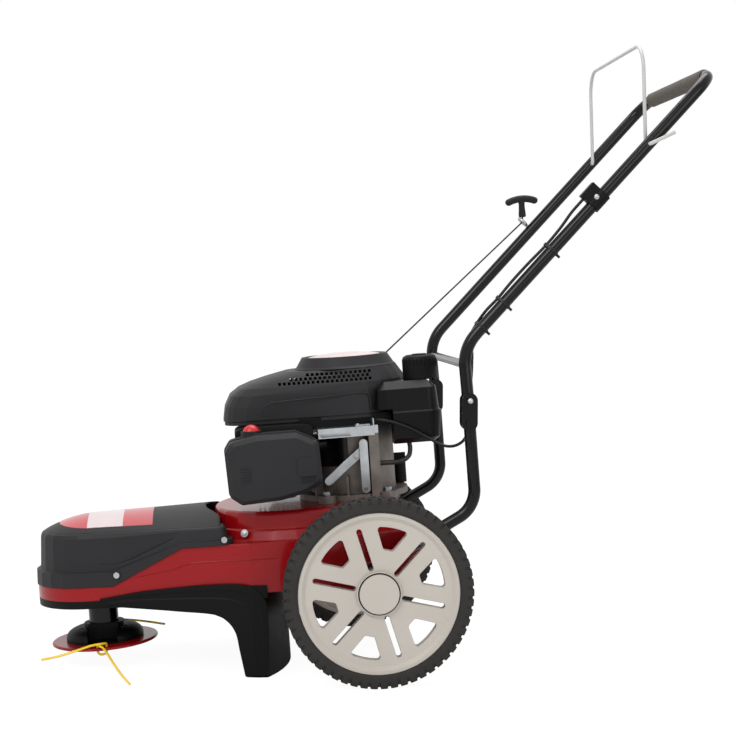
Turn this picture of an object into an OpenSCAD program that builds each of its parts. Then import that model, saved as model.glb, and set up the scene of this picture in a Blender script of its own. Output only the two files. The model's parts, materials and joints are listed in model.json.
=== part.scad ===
// Wheeled string trimmer: a petrol engine on a steel deck drives a string head at the nose by a belt.
// Millimetres. X points to the rear, Y to the machine's right, Z up.
// The origin is on the ground, midway between the two wheels.

/* [Wheels] */
// Diameter of the tyres over the tread
wheel_d = 305; // [285:1:325]
// Width of the tyres
tyre_w = 44; // [40:1:48]
// Height of the tyre from the rim to the tread
tyre_h = 23; // [20:1:26]
// Distance from the side of the deck to the middle of each wheel
wheel_stand = 74; // [72:1:84]
// Diameter of the axle
axle_d = 16; // [14:1:18]
// Double spokes in each rim
spoke_count = 6; // [5:1:7]
// Tread blocks round each row of the tyre
block_count = 36; // [24:1:40]

/* [Deck] */
// Nose-down tilt of the deck and engine
deck_pitch = 4; // [2:0.5:6]
// Distance from the axle forward to the trimmer head
head_reach = 456; // [440:1:470]
// Radius of the rounded nose of the deck
nose_r = 105; // [100:1:112]
// Half width of the deck at the rear
deck_half_w = 164; // [156:1:168]
// Thickness of the pressed steel
deck_t = 3; // [2:0.5:4]
// Height of the engine platform above the axle
platform_h = 129; // [124:1:134]
// Wall of the moulded covers
cover_t = 3; // [2:0.5:4]
// Height of the belt cover's roof above the axle
cover_h = 132; // [126:1:138]
// Radius of the debris guard's skirt about the head
guard_r = 316; // [308:1:324]
// Wall of the debris guard
guard_t = 4; // [3:0.5:5]

/* [Trimmer head] */
// Diameter of the trimmer disc
disc_d = 180; // [170:1:190]
// Thickness of the trimmer disc
disc_t = 5; // [4:0.5:6]
// Diameter of the hub over the disc
hub_d = 131; // [124:1:138]
// Diameter of the spindle housing
housing_d = 50; // [46:1:54]
// Diameter of the spindle
spindle_d = 15; // [14:1:16]
// Diameter of the trimmer line
line_d = 3.9; // [3.6:0.1:4.2]
// Outer diameter of the driven pulley
driven_d = 124; // [116:1:130]
// Outer diameter of the drive pulley
drive_d = 90; // [80:1:96]

/* [Engine] */
// Distance of the crankshaft ahead of the axle
crank_lead = 10; // [4:1:16]
// Radius of the blower housing about the crankshaft
blower_r = 105; // [102:1:110]
// Height of the engine cover's lower edge above the platform
shroud_base = 147; // [144:1:152]
// Height of the engine cover above that edge
shroud_h = 76; // [70:1:82]
// Reach of the engine cover ahead of the crankshaft
shroud_reach = 216; // [208:1:222]
// Diameter of the crankshaft
crank_d = 25; // [22:1:28]
// Width of the air filter cover
filter_w = 155; // [148:1:160]
// Height of the air filter cover
filter_h = 110; // [104:1:114]
// Diameter of the fuel cap
cap_d = 59; // [54:1:64]

/* [Handle] */
// Diameter of the handle tubes
tube_d = 20; // [18:1:22]
// Wall of the handle tubes
tube_wall = 1.6; // [1.2:0.1:2]
// Distance from the side of the deck to the middle of each rail
rail_stand = 36; // [34:1:40]
// Diameter of the foam grip
grip_d = 26; // [24:1:30]
// Length of the foam grip
grip_len = 318; // [290:1:319]
// Diameter of the wire bail
bail_d = 6; // [5:0.5:7]
// Length of the bail from its pivots to its bar
bail_len = 166; // [164:1:170]

/* [Fits] */
// Radial clearance of a running fit
run_fit = 0.05; // [0.02:0.01:0.09]
// Clearance between pieces that only sit together
seat_gap = 0.2; // [0.1:0.05:0.4]

/* [Hidden] */

// Facets of true round shapes, of small lofted rounds and of one lofted corner
fine = 64;
coarse = 24;
corner_steps = 6;
// How far a cut runs past the faces that it opens
over = 1;
// A block larger than the machine, for cutting half spaces away
vast = 2000;

// Colours of the materials
red_paint = "firebrick";
black_paint = [0.08, 0.08, 0.09];
black_plastic = [0.17, 0.17, 0.18];
casting = [0.62, 0.6, 0.57];
zinc = [0.78, 0.79, 0.8];
rim_plastic = [0.82, 0.8, 0.77];
rubber = [0.13, 0.13, 0.13];
foam = [0.29, 0.27, 0.25];

axle_z = wheel_d / 2;
track = 2 * (deck_half_w + wheel_stand);
rail_gap = 2 * (deck_half_w + rail_stand);

// Places a piece in the frame of the tilted deck, whose origin is the middle of the axle
module on_deck() translate([0, 0, axle_z]) rotate([0, -deck_pitch, 0]) children();
// Places a piece that is measured level from the middle of the axle
module on_axle() translate([0, 0, axle_z]) children();
// Draws a piece on the left of the machine, or mirrored on the right
module on_side(right) mirror([0, right ? 1 : 0, 0]) children();
// Draws a piece on both sides
module both_sides() for (right = [false, true]) on_side(right) children();

function unit(v) = v / norm(v);
// Any direction square to w
steep_share = 0.9;
function square_to(w) = unit(abs(w[2]) < steep_share ? cross([0, 0, 1], w) : cross([1, 0, 0], w));

// Places children drawn along +Z so that they start at a and run along w
module stand(a, w) {
    u = square_to(w);
    v = cross(w, u);
    multmatrix([[u[0], v[0], w[0], a[0]], [u[1], v[1], w[1], a[1]], [u[2], v[2], w[2], a[2]]]) children();
}

// A straight rod or pipe between two points
module pipe(a, b, r, bore = 0) stand(a, unit(b - a)) linear_extrude(norm(b - a)) ring(r, bore);
module ring(r, bore = 0) difference() {
    circle(r, $fn = fine);
    if (bore > 0) circle(bore, $fn = fine);
}

function corner_turn(a, b, c) = acos(unit(b - a) * unit(c - b));

// The bend of a pipe at b, on its way from a to c
module elbow(a, b, c, bend, r, bore = 0) {
    u = unit(b - a);
    v = unit(c - b);
    w = unit(cross(u, v));
    n = cross(w, u);
    turn = corner_turn(a, b, c);
    m = b - u * bend * tan(turn / 2) + n * bend;
    multmatrix([[-n[0], u[0], w[0], m[0]], [-n[1], u[1], w[1], m[1]], [-n[2], u[2], w[2], m[2]]])
        rotate_extrude(angle = turn, $fn = fine) translate([bend, 0]) ring(r, bore);
}

// A pipe along a bent path, with one bend radius for each inner corner.
// The straights run a little way into the bends, which are a hair thicker.
bend_swell = 0.05;
bend_lap = 0.4;
module bent_pipe(path, bends, r, bore = 0) {
    last = len(path) - 1;
    trims = [for (i = [0:last]) i == 0 || i == last ? 0
        : bends[i - 1] * tan(corner_turn(path[i - 1], path[i], path[i + 1]) / 2) - bend_lap];
    for (i = [0:last - 1]) {
        u = unit(path[i + 1] - path[i]);
        pipe(path[i] + u * trims[i], path[i + 1] - u * trims[i + 1], r, bore);
    }
    for (i = [1:last - 1]) elbow(path[i - 1], path[i], path[i + 1], bends[i - 1], r + bend_swell,
        bore > 0 ? bore - bend_swell : 0);
}

// One closed skin over a list of rings with equal counts of points, with a flat cap at either end
module loft(rings) {
    n = len(rings[0]);
    k = len(rings);
    sides = [for (i = [0:k - 2], j = [0:n - 1], half = [0, 1])
        half == 0 ? [i * n + j, (i + 1) * n + j, (i + 1) * n + (j + 1) % n]
            : [i * n + j, (i + 1) * n + (j + 1) % n, i * n + (j + 1) % n]];
    first = [for (j = [0:n - 1]) j];
    last = [for (j = [n - 1:-1:0]) (k - 1) * n + j];
    polyhedron([for (ring = rings) each ring], concat(sides, [first, last]));
}

function arc(x, y, r, from) = [for (i = [0:corner_steps]) let (a = from + 90 * i / corner_steps)
    [x + r * cos(a), y + r * sin(a)]];

// Plan of a housing: front end at xf and rear end at xr, each with its half width and corner radius,
// drawn in by inset all round
function plan(xf, xr, hf, hr, rf, rr, inset = 0) = concat(
    arc(xr - rr, hr - rr, rr - inset, 0),
    arc(xf + rf, hf - rf, rf - inset, 90),
    arc(xf + rf, rf - hf, rf - inset, 180),
    arc(xr - rr, rr - hr, rr - inset, 270));

function level(points, z) = [for (p = points) [p[0], p[1], z]];
function flip(list) = [for (i = [len(list) - 1:-1:0]) list[i]];

// Points along a smooth curve through the points of a route
function spline(a, b, c, d, t) = b + t * ((c - a) + t * ((2 * a - 5 * b + 4 * c - d)
    + t * (3 * (b - c) + d - a))) / 2;
function smooth(route, steps) = let (last = len(route) - 1) concat(
    [for (i = [0:last - 1], s = [0:steps - 1]) spline(route[max(i - 1, 0)], route[i], route[i + 1],
        route[min(i + 2, last)], s / steps)],
    [route[last]]);

// A round cord along points; no stretch of it runs along the direction aside
module cord(points, r, aside, sides) {
    last = len(points) - 1;
    loft([for (i = [0:last]) let (
            t = unit(points[min(i + 1, last)] - points[max(i - 1, 0)]),
            u = unit(cross(aside, t)),
            v = cross(t, u))
        [for (j = [0:sides - 1]) points[i] + r * (u * cos(360 * j / sides) + v * sin(360 * j / sides))]]);
}

// A box with the given corner and size, and rounded upright edges
module round_box(size, r) linear_extrude(size[2]) offset(r, $fn = coarse) offset(delta = -r)
    square([size[0], size[1]]);

// Deck: places along its length, measured from the axle, and heights above the axle
deck_front = -head_reach - nose_r;
deck_rear = 112;
deck_wide_x = -200;
lip_h = 23;
ramp_behind = 28;
ramp_front = ramp_behind - head_reach;
ramp_rear = -310;
ramp_h = 81;
step_x = -226;
step_h = 83;
pad_front = -266;
pad_ledge = 1.5;
pad_nose_r = 146;
pad_tail_r = 26;
pad_shares = [0, 0.34, 0.38, 0.86, 0.95, 1];
pad_insets = [0, 7, 10, 14, 16, 21];
pad_gap = 1.5;
tail_x = 53;
tail_drop_x = 101;
tail_h = 71;
ear_half = 42;
ear_drop = 24;
skirt_rear_h = 34;
skirt_clear_x = 62;
tail_run = (tail_drop_x - tail_x) / (platform_h - tail_h);
deck_top = [[deck_front - over, lip_h], [ramp_front, lip_h], [ramp_rear, ramp_h], [step_x, step_h],
    [tail_drop_x - (step_h - tail_h) * tail_run, step_h], [tail_drop_x, tail_h],
        [deck_rear, tail_h - deck_t]];
deck_bottom = [[deck_rear, skirt_rear_h], [skirt_clear_x, skirt_rear_h], [ear_half, -ear_drop],
    [-ear_half, -ear_drop], [-skirt_clear_x, 0], [deck_front - over, 0]];

// Spindle, pulleys and belt
belt_z = 47;
belt_w = 10;
belt_thick = 8;
groove_depth = 10;
groove_gap = 0.4;
pulley_flange = 4;
pulley_h = belt_w + 2 * (groove_gap + pulley_flange);
belt_driven_r = driven_d / 2 - groove_depth + belt_thick + groove_gap;
belt_drive_r = drive_d / 2 - groove_depth + belt_thick + groove_gap;
window_half = driven_d / 2 + pulley_flange;
window_low = belt_z - pulley_h;
window_high = belt_z + pulley_h;
crank_x = -crank_lead;

floor_h = lip_h - deck_t;
flange_t = 8;
flange_r = 46;
housing_drop = 74;
bearing_od = 32;
bearing_w = 9;
spindle_r = spindle_d / 2;
spindle_hole_r = housing_d / 2 + over;
flange_bolt_r = 3;
flange_bolt_circle = 36;
flange_bolt_count = 4;

engine_bolt_circle = 101.6;
engine_bolt_r = 4;
bolt_turns = [60, 120, 240, 300];
crank_hole_r = 42;

// The block that the deck's plan bounds between two heights, drawn in by t: rounded nose and widening sides
module deck_block(low, high, t = 0) {
    translate([-head_reach, 0, low]) cylinder(h = high - low, r = nose_r - t, $fn = fine);
    translate([0, 0, low]) linear_extrude(high - low)
        polygon([for (s = [1, -1], p = s > 0 ? deck_edge : flip(deck_edge))
        [p[0] - t * (p[0] > 0 ? 1 : 0), s * (p[1] - t)]]);
}
deck_edge = [[-head_reach, nose_r], [deck_wide_x, deck_half_w - deck_t], [deck_rear, deck_half_w]];

module deck_profile(t = 0) offset(delta = -t) polygon(concat(deck_top, t > 0
    ? [[deck_rear, -vast], [deck_front - over, -vast]] : deck_bottom));

// Children drawn with x along the machine and y upwards become plates across the machine
module across(half) rotate([90, 0, 0]) translate([0, 0, -half]) linear_extrude(2 * half) children();

// The raised pad under the engine, drawn in by t, from a depth below the ledge
pad_half = deck_half_w - deck_t - pad_ledge;
function pad_ring(inset, z) = level(plan(pad_front, deck_rear, pad_half, pad_half, pad_nose_r, pad_tail_r,
    inset), z);
module deck_pad(t, depth) intersection() {
    rise = platform_h - step_h;
    loft(concat([pad_ring(t, step_h - depth)], [for (i = [0:len(pad_shares) - 1])
        pad_ring(min(pad_insets[i] + t, pad_tail_r - over), step_h + pad_shares[i] * rise - t)]));
    across(deck_half_w) offset(delta = -t) polygon([[-vast, -vast], [-vast, platform_h],
        [tail_x, platform_h],
        [tail_drop_x, tail_h], [tail_drop_x, -vast]]);
}

module deck() color(red_paint) on_deck() difference() {
    union() {
        intersection() {
            deck_block(-ear_drop, step_h + over);
            across(deck_half_w) deck_profile();
        }
        deck_pad(0, deck_t / 2);
    }
    intersection() {
        deck_block(-ear_drop - over, step_h, deck_t);
        across(deck_half_w) deck_profile(deck_t);
    }
    deck_pad(deck_t, 2 * deck_t);
    translate([-head_reach, 0, 0]) cylinder(h = 2 * lip_h, r = spindle_hole_r, $fn = fine);
    for (i = [0:flange_bolt_count - 1]) translate([-head_reach, 0, 0])
        rotate((i + 0.5) * 360 / flange_bolt_count)
        translate([flange_bolt_circle, 0, 0]) cylinder(h = 2 * lip_h, r = flange_bolt_r, $fn = fine);
    translate([ramp_front - window_half, -window_half, window_low])
        cube([step_x - ramp_front, 2 * window_half, window_high - window_low]);
    translate([crank_x, 0, belt_z]) cylinder(h = platform_h, r = crank_hole_r, $fn = fine);
    engine_bolt_places() translate([0, 0, belt_z])
        cylinder(h = platform_h, r = engine_bolt_r + seat_gap, $fn = fine);
    rotate([90, 0, 0]) cylinder(h = track, r = axle_d / 2 + run_fit, center = true, $fn = fine);
    rotate([0, deck_pitch, 0]) both_sides() handle_bolt_places()
        translate([0, 0, -rail_gap / 2]) cylinder(h = rail_gap / 2, r = handle_bolt_r + seat_gap,
            $fn = fine);
}

module engine_bolt_places() for (a = bolt_turns) translate([crank_x, 0, 0]) rotate(a)
    translate([engine_bolt_circle, 0, 0]) children();

// Belt cover: shares of its wall's height and how far each ring is drawn in from its rim,
// then shares of the wall's top ring, each drawn in towards the middle, that make the crowned roof
cover_rear = step_x;
cover_rear_set = 8;
cover_rear_half = deck_half_w - cover_rear_set;
cover_lip = 2;
cover_shares = [0, 0.26, 0.3, 0.9, 0.97, 1];
cover_insets = [0, 1, 8, 12, 15, 20];
cover_crown = 21;
crown_shares = [0.86, 0.68, 0.46, 0.25];
cover_rim = [[deck_front, lip_h], [ramp_front, lip_h], [ramp_rear, ramp_h], [cover_rear, step_h]];
cover_rear_r = 22;
// Points between two ends of a straight side, at the knees of the deck below it
function knees(a, b) = [for (x = a[0] > b[0] ? [ramp_rear, ramp_front] : [ramp_front, ramp_rear])
    a + (b - a) * (x - a[0]) / (b[0] - a[0])];
function cover_plan(inset) = let (n = corner_steps + 1,
    p = plan(deck_front - cover_lip, cover_rear + cover_lip,
        nose_r + cover_lip, cover_rear_half, nose_r, cover_rear_r, inset))
    concat([for (i = [0:n - 1]) p[i]], knees(p[n - 1], p[n]), [for (i = [n:3 * n - 1]) p[i]],
        knees(p[3 * n - 1], p[3 * n]), [for (i = [3 * n:4 * n - 1]) p[i]]);
function cover_ring(inset, share, roof) = [for (p = cover_plan(inset))
    let (low = lookup(p[0], cover_rim) + seat_gap) [p[0], p[1], low + share * (roof - low)]];

// Rings of one skin of the cover, from its rim to the top of its roof
function cover_skin(t) = let (
        edge = cover_h - cover_crown - t,
        walls = [for (i = [0:len(cover_shares) - 1])
            cover_ring(cover_insets[i] + t, cover_shares[i], edge)],
        top = walls[len(walls) - 1])
    concat(walls, [for (share = crown_shares) [for (p = top) let (x = max(p[0], -head_reach))
        [x + share * (p[0] - x), share * p[1], edge + cover_crown * (1 - share * share)]]]);

module belt_cover() color(black_plastic) on_deck() difference() {
    loft(concat(flip(cover_skin(cover_t)), cover_skin(0)));
    linear_extrude(vast) polygon(plan(pad_front, deck_rear, pad_half, pad_half, pad_nose_r, pad_tail_r,
        -pad_gap));
}

// Cover screws: places along the machine and up from the axle, square to the side of the cover
screw_r = 5;
screw_h = 4;
screw_shank_r = 2.4;
screw_shank = 8;
screw_behind = 9;
screw_rise = 19;
rear_screw_ahead = 12;
rear_screw_rise = 9;
screw_places = [[ramp_front + screw_behind, lip_h + screw_rise],
    [step_x - rear_screw_ahead, step_h + rear_screw_rise]];
cover_side = [[deck_front - cover_lip + nose_r, nose_r + cover_lip],
    [cover_rear + cover_lip - cover_rear_r, cover_rear_half]];
cover_splay = atan2(cover_side[1][1] - cover_side[0][1], cover_side[1][0] - cover_side[0][0]);
module cover_screws() color(zinc) on_deck() both_sides() for (p = screw_places)
    translate([p[0], -lookup(p[0], cover_side), p[1]]) rotate(-cover_splay) rotate([90, 0, 0]) {
        cylinder(h = screw_h, r = screw_r, $fn = fine);
        translate([0, 0, -screw_shank]) cylinder(h = screw_shank, r = screw_shank_r, $fn = fine);
    }

// Debris guard: the leading edge of its side walls as places behind the axle line and heights
guard_bend = 60;
guard_lip = 8;
guard_lead = [[-415, -13], [-268, -30], [-246, -40], [-231, -61], [-227, -94], [-219, -136], [-214, -200]];
flange_top = [[-451, 3], [-380, 13], [-279, 19], [-175, 12]];
flange_gap = 0.3;
guard_hole_r = flange_r + over;
module guard_form(t) intersection() {
    translate([-head_reach, 0, -axle_z - t]) rotate_extrude($fn = fine) {
        square([guard_r - t, axle_z - guard_bend]);
        square([guard_r - guard_bend, axle_z]);
        translate([guard_r - guard_bend, axle_z - guard_bend]) circle(guard_bend - t, $fn = fine);
        translate([0, axle_z - guard_bend]) square([guard_r - guard_bend, guard_bend]);
    }
    deck_block(-vast, 0, t);
}
module debris_guard() color(black_plastic) on_deck() difference() {
    union() {
        difference() {
            guard_form(0);
            guard_form(guard_t);
        }
        intersection() {
            difference() {
                deck_block(-guard_lip, vast, -flange_gap - guard_t);
                deck_block(-vast, 0, guard_t / 2);
                deck_block(-over, vast + over, -flange_gap);
            }
            across(deck_half_w + 2 * guard_t) polygon(concat([[flange_top[0][0], -guard_lip]], flange_top,
                [[flange_top[3][0], -guard_lip]]));
        }
    }
    across(vast) polygon(concat([[deck_front - vast, -guard_lip]], guard_lead,
        [[guard_lead[6][0], -vast], [deck_front - vast, -vast]]));
    translate([-head_reach, 0, -vast]) cylinder(h = 2 * vast, r = guard_hole_r, $fn = fine);
    rotate([0, deck_pitch, 0]) translate([-vast, -vast, -axle_z - vast]) cube([2 * vast, 2 * vast, vast]);
}

module at_head() on_deck() translate([-head_reach, 0, 0]) children();
module at_crank() on_deck() translate([crank_x, 0, 0]) children();

// Spindle housing: a flanged tube bolted under the deck floor, with a bearing at either end
housing_low = floor_h - housing_drop;
housing_wall_r = bearing_od / 2;
module spindle_housing() color(black_paint) at_head() difference() {
    union() {
        translate([0, 0, floor_h - flange_t]) cylinder(h = flange_t, r = flange_r, $fn = fine);
        translate([0, 0, housing_low]) cylinder(h = housing_drop, r = housing_d / 2, $fn = fine);
    }
    translate([0, 0, housing_low - over]) cylinder(h = housing_drop + 2 * over, r = housing_wall_r,
        $fn = fine);
    for (i = [0:flange_bolt_count - 1]) rotate((i + 0.5) * 360 / flange_bolt_count)
        translate([flange_bolt_circle, 0, housing_low])
            cylinder(h = housing_drop + over, r = flange_bolt_r, $fn = fine);
}

module spindle_bearings() color(zinc) at_head() for (z = [housing_low, floor_h - bearing_w])
    translate([0, 0, z]) linear_extrude(bearing_w) ring(housing_wall_r, spindle_r + run_fit);

hub_h = 28;
hub_top = housing_low - over;
hub_base = hub_top - hub_h;
disc_low = hub_base - disc_t;
spindle_nut_r = 13;
spindle_nut_h = 8;
spindle_top = belt_z + pulley_h / 2 + spindle_nut_h;
module spindle_shaft() color(zinc) at_head() {
    translate([0, 0, disc_low]) cylinder(h = spindle_top - disc_low, r = spindle_r, $fn = fine);
    translate([0, 0, disc_low - spindle_nut_h]) cylinder(h = spindle_nut_h, r = spindle_nut_r, $fn = 6);
    translate([0, 0, belt_z + pulley_h / 2]) cylinder(h = spindle_nut_h, r = spindle_nut_r, $fn = 6);
}

// A grooved belt pulley with a boss, about the belt's middle height
module pulley(d, bore, boss_r, boss_h) difference() {
    union() {
        translate([0, 0, -pulley_h / 2]) cylinder(h = pulley_h, d = d, $fn = fine);
        translate([0, 0, -pulley_h / 2 - boss_h]) cylinder(h = boss_h, r = boss_r, $fn = fine);
    }
    translate([0, 0, -vast]) cylinder(h = 2 * vast, r = bore, $fn = fine);
    groove_h = pulley_h - 2 * pulley_flange;
    translate([0, 0, -groove_h / 2]) linear_extrude(groove_h) ring(d / 2 + over, d / 2 - groove_depth);
}
boss_r = 14;
driven_boss = belt_z - pulley_h / 2 - floor_h - over;
module driven_pulley() color(zinc) at_head() translate([0, 0, belt_z])
    pulley(driven_d, spindle_r, boss_r, driven_boss);

crank_r = crank_d / 2;
drive_boss = 6;
drive_boss_r = 20;
module drive_pulley() color(zinc) at_crank() translate([0, 0, belt_z])
    pulley(drive_d, crank_r, drive_boss_r, drive_boss);

module belt_loop(inset) hull() {
    translate([-head_reach, 0]) circle(belt_driven_r - inset, $fn = fine);
    translate([crank_x, 0]) circle(belt_drive_r - inset, $fn = fine);
}
module drive_belt() color(rubber) on_deck() translate([0, 0, belt_z - belt_w / 2]) linear_extrude(belt_w)
    difference() {
    belt_loop(0);
    belt_loop(belt_thick);
}

// Trimmer hub: two rounded lobes with a valley between them, where the line is laid
hub_shoulder_r = 34;
hub_shoulder = 11;
hub_valley = 50;
hub_valley_r = 22;
hub_valley_floor = 1;
lobe_screw_r = 4;
lobe_screw_out = 44;
lobe_screw_turn = 35;
module trimmer_hub() color(black_plastic) at_head() translate([0, 0, hub_base]) difference() {
    rotate_extrude($fn = fine) polygon([[spindle_r, 0], [hub_d / 2, 0], [hub_d / 2, hub_shoulder / 2],
        for (a = [0:15:90]) [hub_shoulder_r + (hub_d / 2 - hub_shoulder_r) * cos(a),
            hub_shoulder / 2 + (hub_h - hub_shoulder) * sin(a)],
        [hub_shoulder_r, hub_h], [spindle_r, hub_h]]);
    for (a = [0, 180]) rotate(a) translate([-hub_valley / 2, hub_valley_r, hub_valley_floor])
        cube([hub_valley, hub_d, hub_h]);
    for (a = [0, 180], s = [-1, 1]) rotate(a + s * lobe_screw_turn) translate([lobe_screw_out, 0, hub_h - hub_shoulder])
        cylinder(h = hub_h, r = lobe_screw_r, $fn = fine);
}

// Trimmer disc: a steel plate with a rolled edge and two eyelets for each line
eyelet_r = 3.2;
eyelet_out = 80;
eyelet_half = 7.5;
module trimmer_disc() color(red_paint) at_head() translate([0, 0, disc_low]) difference() {
    union() {
        cylinder(h = disc_t, d = disc_d - disc_t, $fn = fine);
        translate([0, 0, disc_t / 2]) rotate_extrude($fn = fine) translate([disc_d / 2 - disc_t / 2, 0])
            circle(disc_t / 2, $fn = fine);
    }
    translate([0, 0, -over]) cylinder(h = disc_t + 2 * over, r = spindle_r, $fn = fine);
    for (a = [0, 180], s = [-1, 1]) rotate(a) translate([s * eyelet_half, -eyelet_out, -over])
        cylinder(h = disc_t + 2 * over, r = eyelet_r, $fn = fine);
}

// Route of one trimmer line about the head, with heights above the disc: a tip, over the rim,
// down one eyelet, under the disc, up the other eyelet, across the first strand and down to the ground
line_steps = 3;
line_sides = 8;
line_aside = [0.5, 0.2, 1];
line_route = [[-98, -100, -8], [-70, -108, -3], [-42, -107, 3], [-16, -100, 8], [2, -92, 8], [7.5, -83, 6],
    [7.5, -80, 1], [7.5, -80, -7], [4, -80, -12], [-4, -80, -12], [-7.5, -80, -7], [-7.5, -80, 1],
    [-7.5, -83, 5], [-3, -94, 5], [4, -104, 3], [12, -126, -2], [24, -160, -12], [38, -195, -23],
        [52, -224, -32]];
module trimmer_line() cord(smooth(line_route, line_steps), line_d / 2, line_aside, line_sides);
module trimmer_line_near() color("gold") at_head() translate([0, 0, hub_base]) trimmer_line();
module trimmer_line_far() color("gold") at_head() translate([0, 0, hub_base]) rotate(180) trimmer_line();

// Engine: heights above the platform
sump_t = 10;
sump_r = 94;
sump_lug_r = 16;
sump_lug_h = 13;
case_r = 74;
plate_rise = 7;
case_h = shroud_base - plate_rise;
pillar_drop = 28;
pillar_h = case_h - pillar_drop;
crank_stub = 40;
rib_share = 0.3;
crank_boss_r = 30;
crank_boss_drop = 12;
crank_low = belt_z - pulley_h / 2 - drive_boss;
crank_top = platform_h + shroud_base + crank_stub;
pillar_w = 17;
pillar_from = 24;
pillar_out = 96;
pillar_deep = 60;
case_rib_t = 4;
case_rib_turns = [100, 140, 220, 260];
module crankcase() color(casting) at_crank() translate([0, 0, platform_h]) difference() {
    union() {
        cylinder(h = sump_t, r = sump_r, $fn = fine);
        cylinder(h = case_h, r = case_r, $fn = fine);
        translate([0, 0, -crank_boss_drop]) cylinder(h = crank_boss_drop, r = crank_boss_r, $fn = fine);
        translate([pillar_from, -pillar_out, 0]) cube([pillar_w, pillar_deep, pillar_h]);
        translate([governor_x, 0, governor_z]) rotate([90, 0, 0])
            cylinder(h = case_r + governor_gap + 2 * governor_t, r = lever_pin_r, $fn = fine);
        for (a = bolt_turns) rotate(a) translate([engine_bolt_circle, 0, 0])
            cylinder(h = sump_lug_h, r = sump_lug_r, $fn = fine);
        for (a = case_rib_turns) rotate(a) translate([0, -case_rib_t / 2, 0])
            cube([sump_r - case_rib_t, case_rib_t, case_h * rib_share]);
    }
    translate([0, 0, -crank_boss_drop - over]) cylinder(h = case_h + crank_boss_drop + 2 * over,
        r = crank_r + run_fit, $fn = fine);
    for (a = bolt_turns) rotate(a) translate([engine_bolt_circle, 0, -over])
        cylinder(h = sump_lug_h + 2 * over, r = engine_bolt_r + seat_gap, $fn = fine);
}

bolt_head_r = 7;
bolt_head_h = 6;
module engine_bolts() color(zinc) on_deck() engine_bolt_places()
    translate([0, 0, platform_h + sump_lug_h]) {
    cylinder(h = bolt_head_h, r = bolt_head_r, $fn = 6);
    translate([0, 0, -sump_lug_h - 2 * deck_t]) cylinder(h = sump_lug_h + 2 * deck_t, r = engine_bolt_r,
        $fn = fine);
    translate([0, 0, -sump_lug_h - deck_t - seat_gap - bolt_head_h])
        cylinder(h = bolt_head_h, r = bolt_head_r, $fn = 6);
}

module crankshaft() color(zinc) at_crank() translate([0, 0, crank_low])
    cylinder(h = crank_top - crank_low, r = crank_r, $fn = fine);

blower_gap = 14;
flywheel_r = blower_r - blower_gap;
flywheel_h = 14;
fin_count = 16;
fin_h = 18;
fin_t = 3;
fin_in = 30;
flywheel_low = platform_h + shroud_base + fin_t;
module flywheel() color(casting) at_crank() translate([0, 0, flywheel_low]) difference() {
    union() {
        cylinder(h = flywheel_h, r = flywheel_r, $fn = fine);
        for (i = [0:fin_count - 1]) rotate(i * 360 / fin_count)
            translate([flywheel_r - fin_in, -fin_t / 2, 0])
            cube([fin_in - fin_t, fin_t, flywheel_h + fin_h]);
    }
    translate([0, 0, -over]) cylinder(h = flywheel_h + 2 * over, r = crank_r, $fn = fine);
}

// Cylinder: a finned barrel that lies forward of the crankcase, with the head at its end
barrel_w = 84;
barrel_h = 88;
barrel_z = 62;
barrel_from = 66;
barrel_to = 172;
fin_pitch = 8;
fin_thick = 3;
barrel_core = 10;
module cylinder_block() color(casting) at_crank() translate([0, 0, platform_h]) difference() {
    union() {
        translate([-barrel_to, -barrel_w / 2 + barrel_core, barrel_z - barrel_h / 2 + barrel_core])
            cube([barrel_to - barrel_from, barrel_w - 2 * barrel_core, barrel_h - 2 * barrel_core]);
        for (x = [barrel_from + fin_pitch:fin_pitch:barrel_to - fin_thick])
            translate([-x - fin_thick, -barrel_w / 2, barrel_z - barrel_h / 2])
                cube([fin_thick, barrel_w, barrel_h]);
    }
    translate([0, 0, -over]) cylinder(h = case_h + barrel_h, r = case_r + seat_gap, $fn = fine);
}

rocker_d = 26;
rocker_inset = 8;
rocker_r = 12;
module rocker_cover() color(casting) at_crank() translate([-barrel_to - rocker_d,
    -barrel_w / 2 + rocker_inset,
    platform_h + barrel_z - barrel_h / 2 + rocker_inset]) rotate([90, 0, 90])
    round_box([barrel_w - 2 * rocker_inset, barrel_h - 2 * rocker_inset, rocker_d - seat_gap], rocker_r);

plug_r = 6;
plug_len = 24;
plug_hex_r = 10.5;
plug_hex_h = 10;
plug_inset = 18;
plug_x = -barrel_to + plug_inset;
plug_z = barrel_z;
module at_plug() at_crank() translate([plug_x, barrel_w / 2 + seat_gap, platform_h + plug_z])
    rotate([-90, 0, 0]) children();
module spark_plug() color(zinc) at_plug() {
    cylinder(h = plug_hex_h, r = plug_hex_r, $fn = 6);
    cylinder(h = plug_len, r = plug_r, $fn = fine);
}
boot_r = 10;
boot_len = 32;
boot_elbow = 26;
boot_neck_share = 0.7;
module plug_boot() color(rubber) at_plug() difference() {
    union() {
        translate([0, 0, plug_hex_h + seat_gap]) cylinder(h = boot_len, r = boot_r, $fn = fine);
        translate([0, 0, plug_hex_h + boot_len - boot_r]) rotate([90, 0, 0])
            cylinder(h = boot_elbow, r = boot_r * boot_neck_share, $fn = fine);
    }
    cylinder(h = plug_len + seat_gap, r = plug_r + run_fit, $fn = fine);
}

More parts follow.
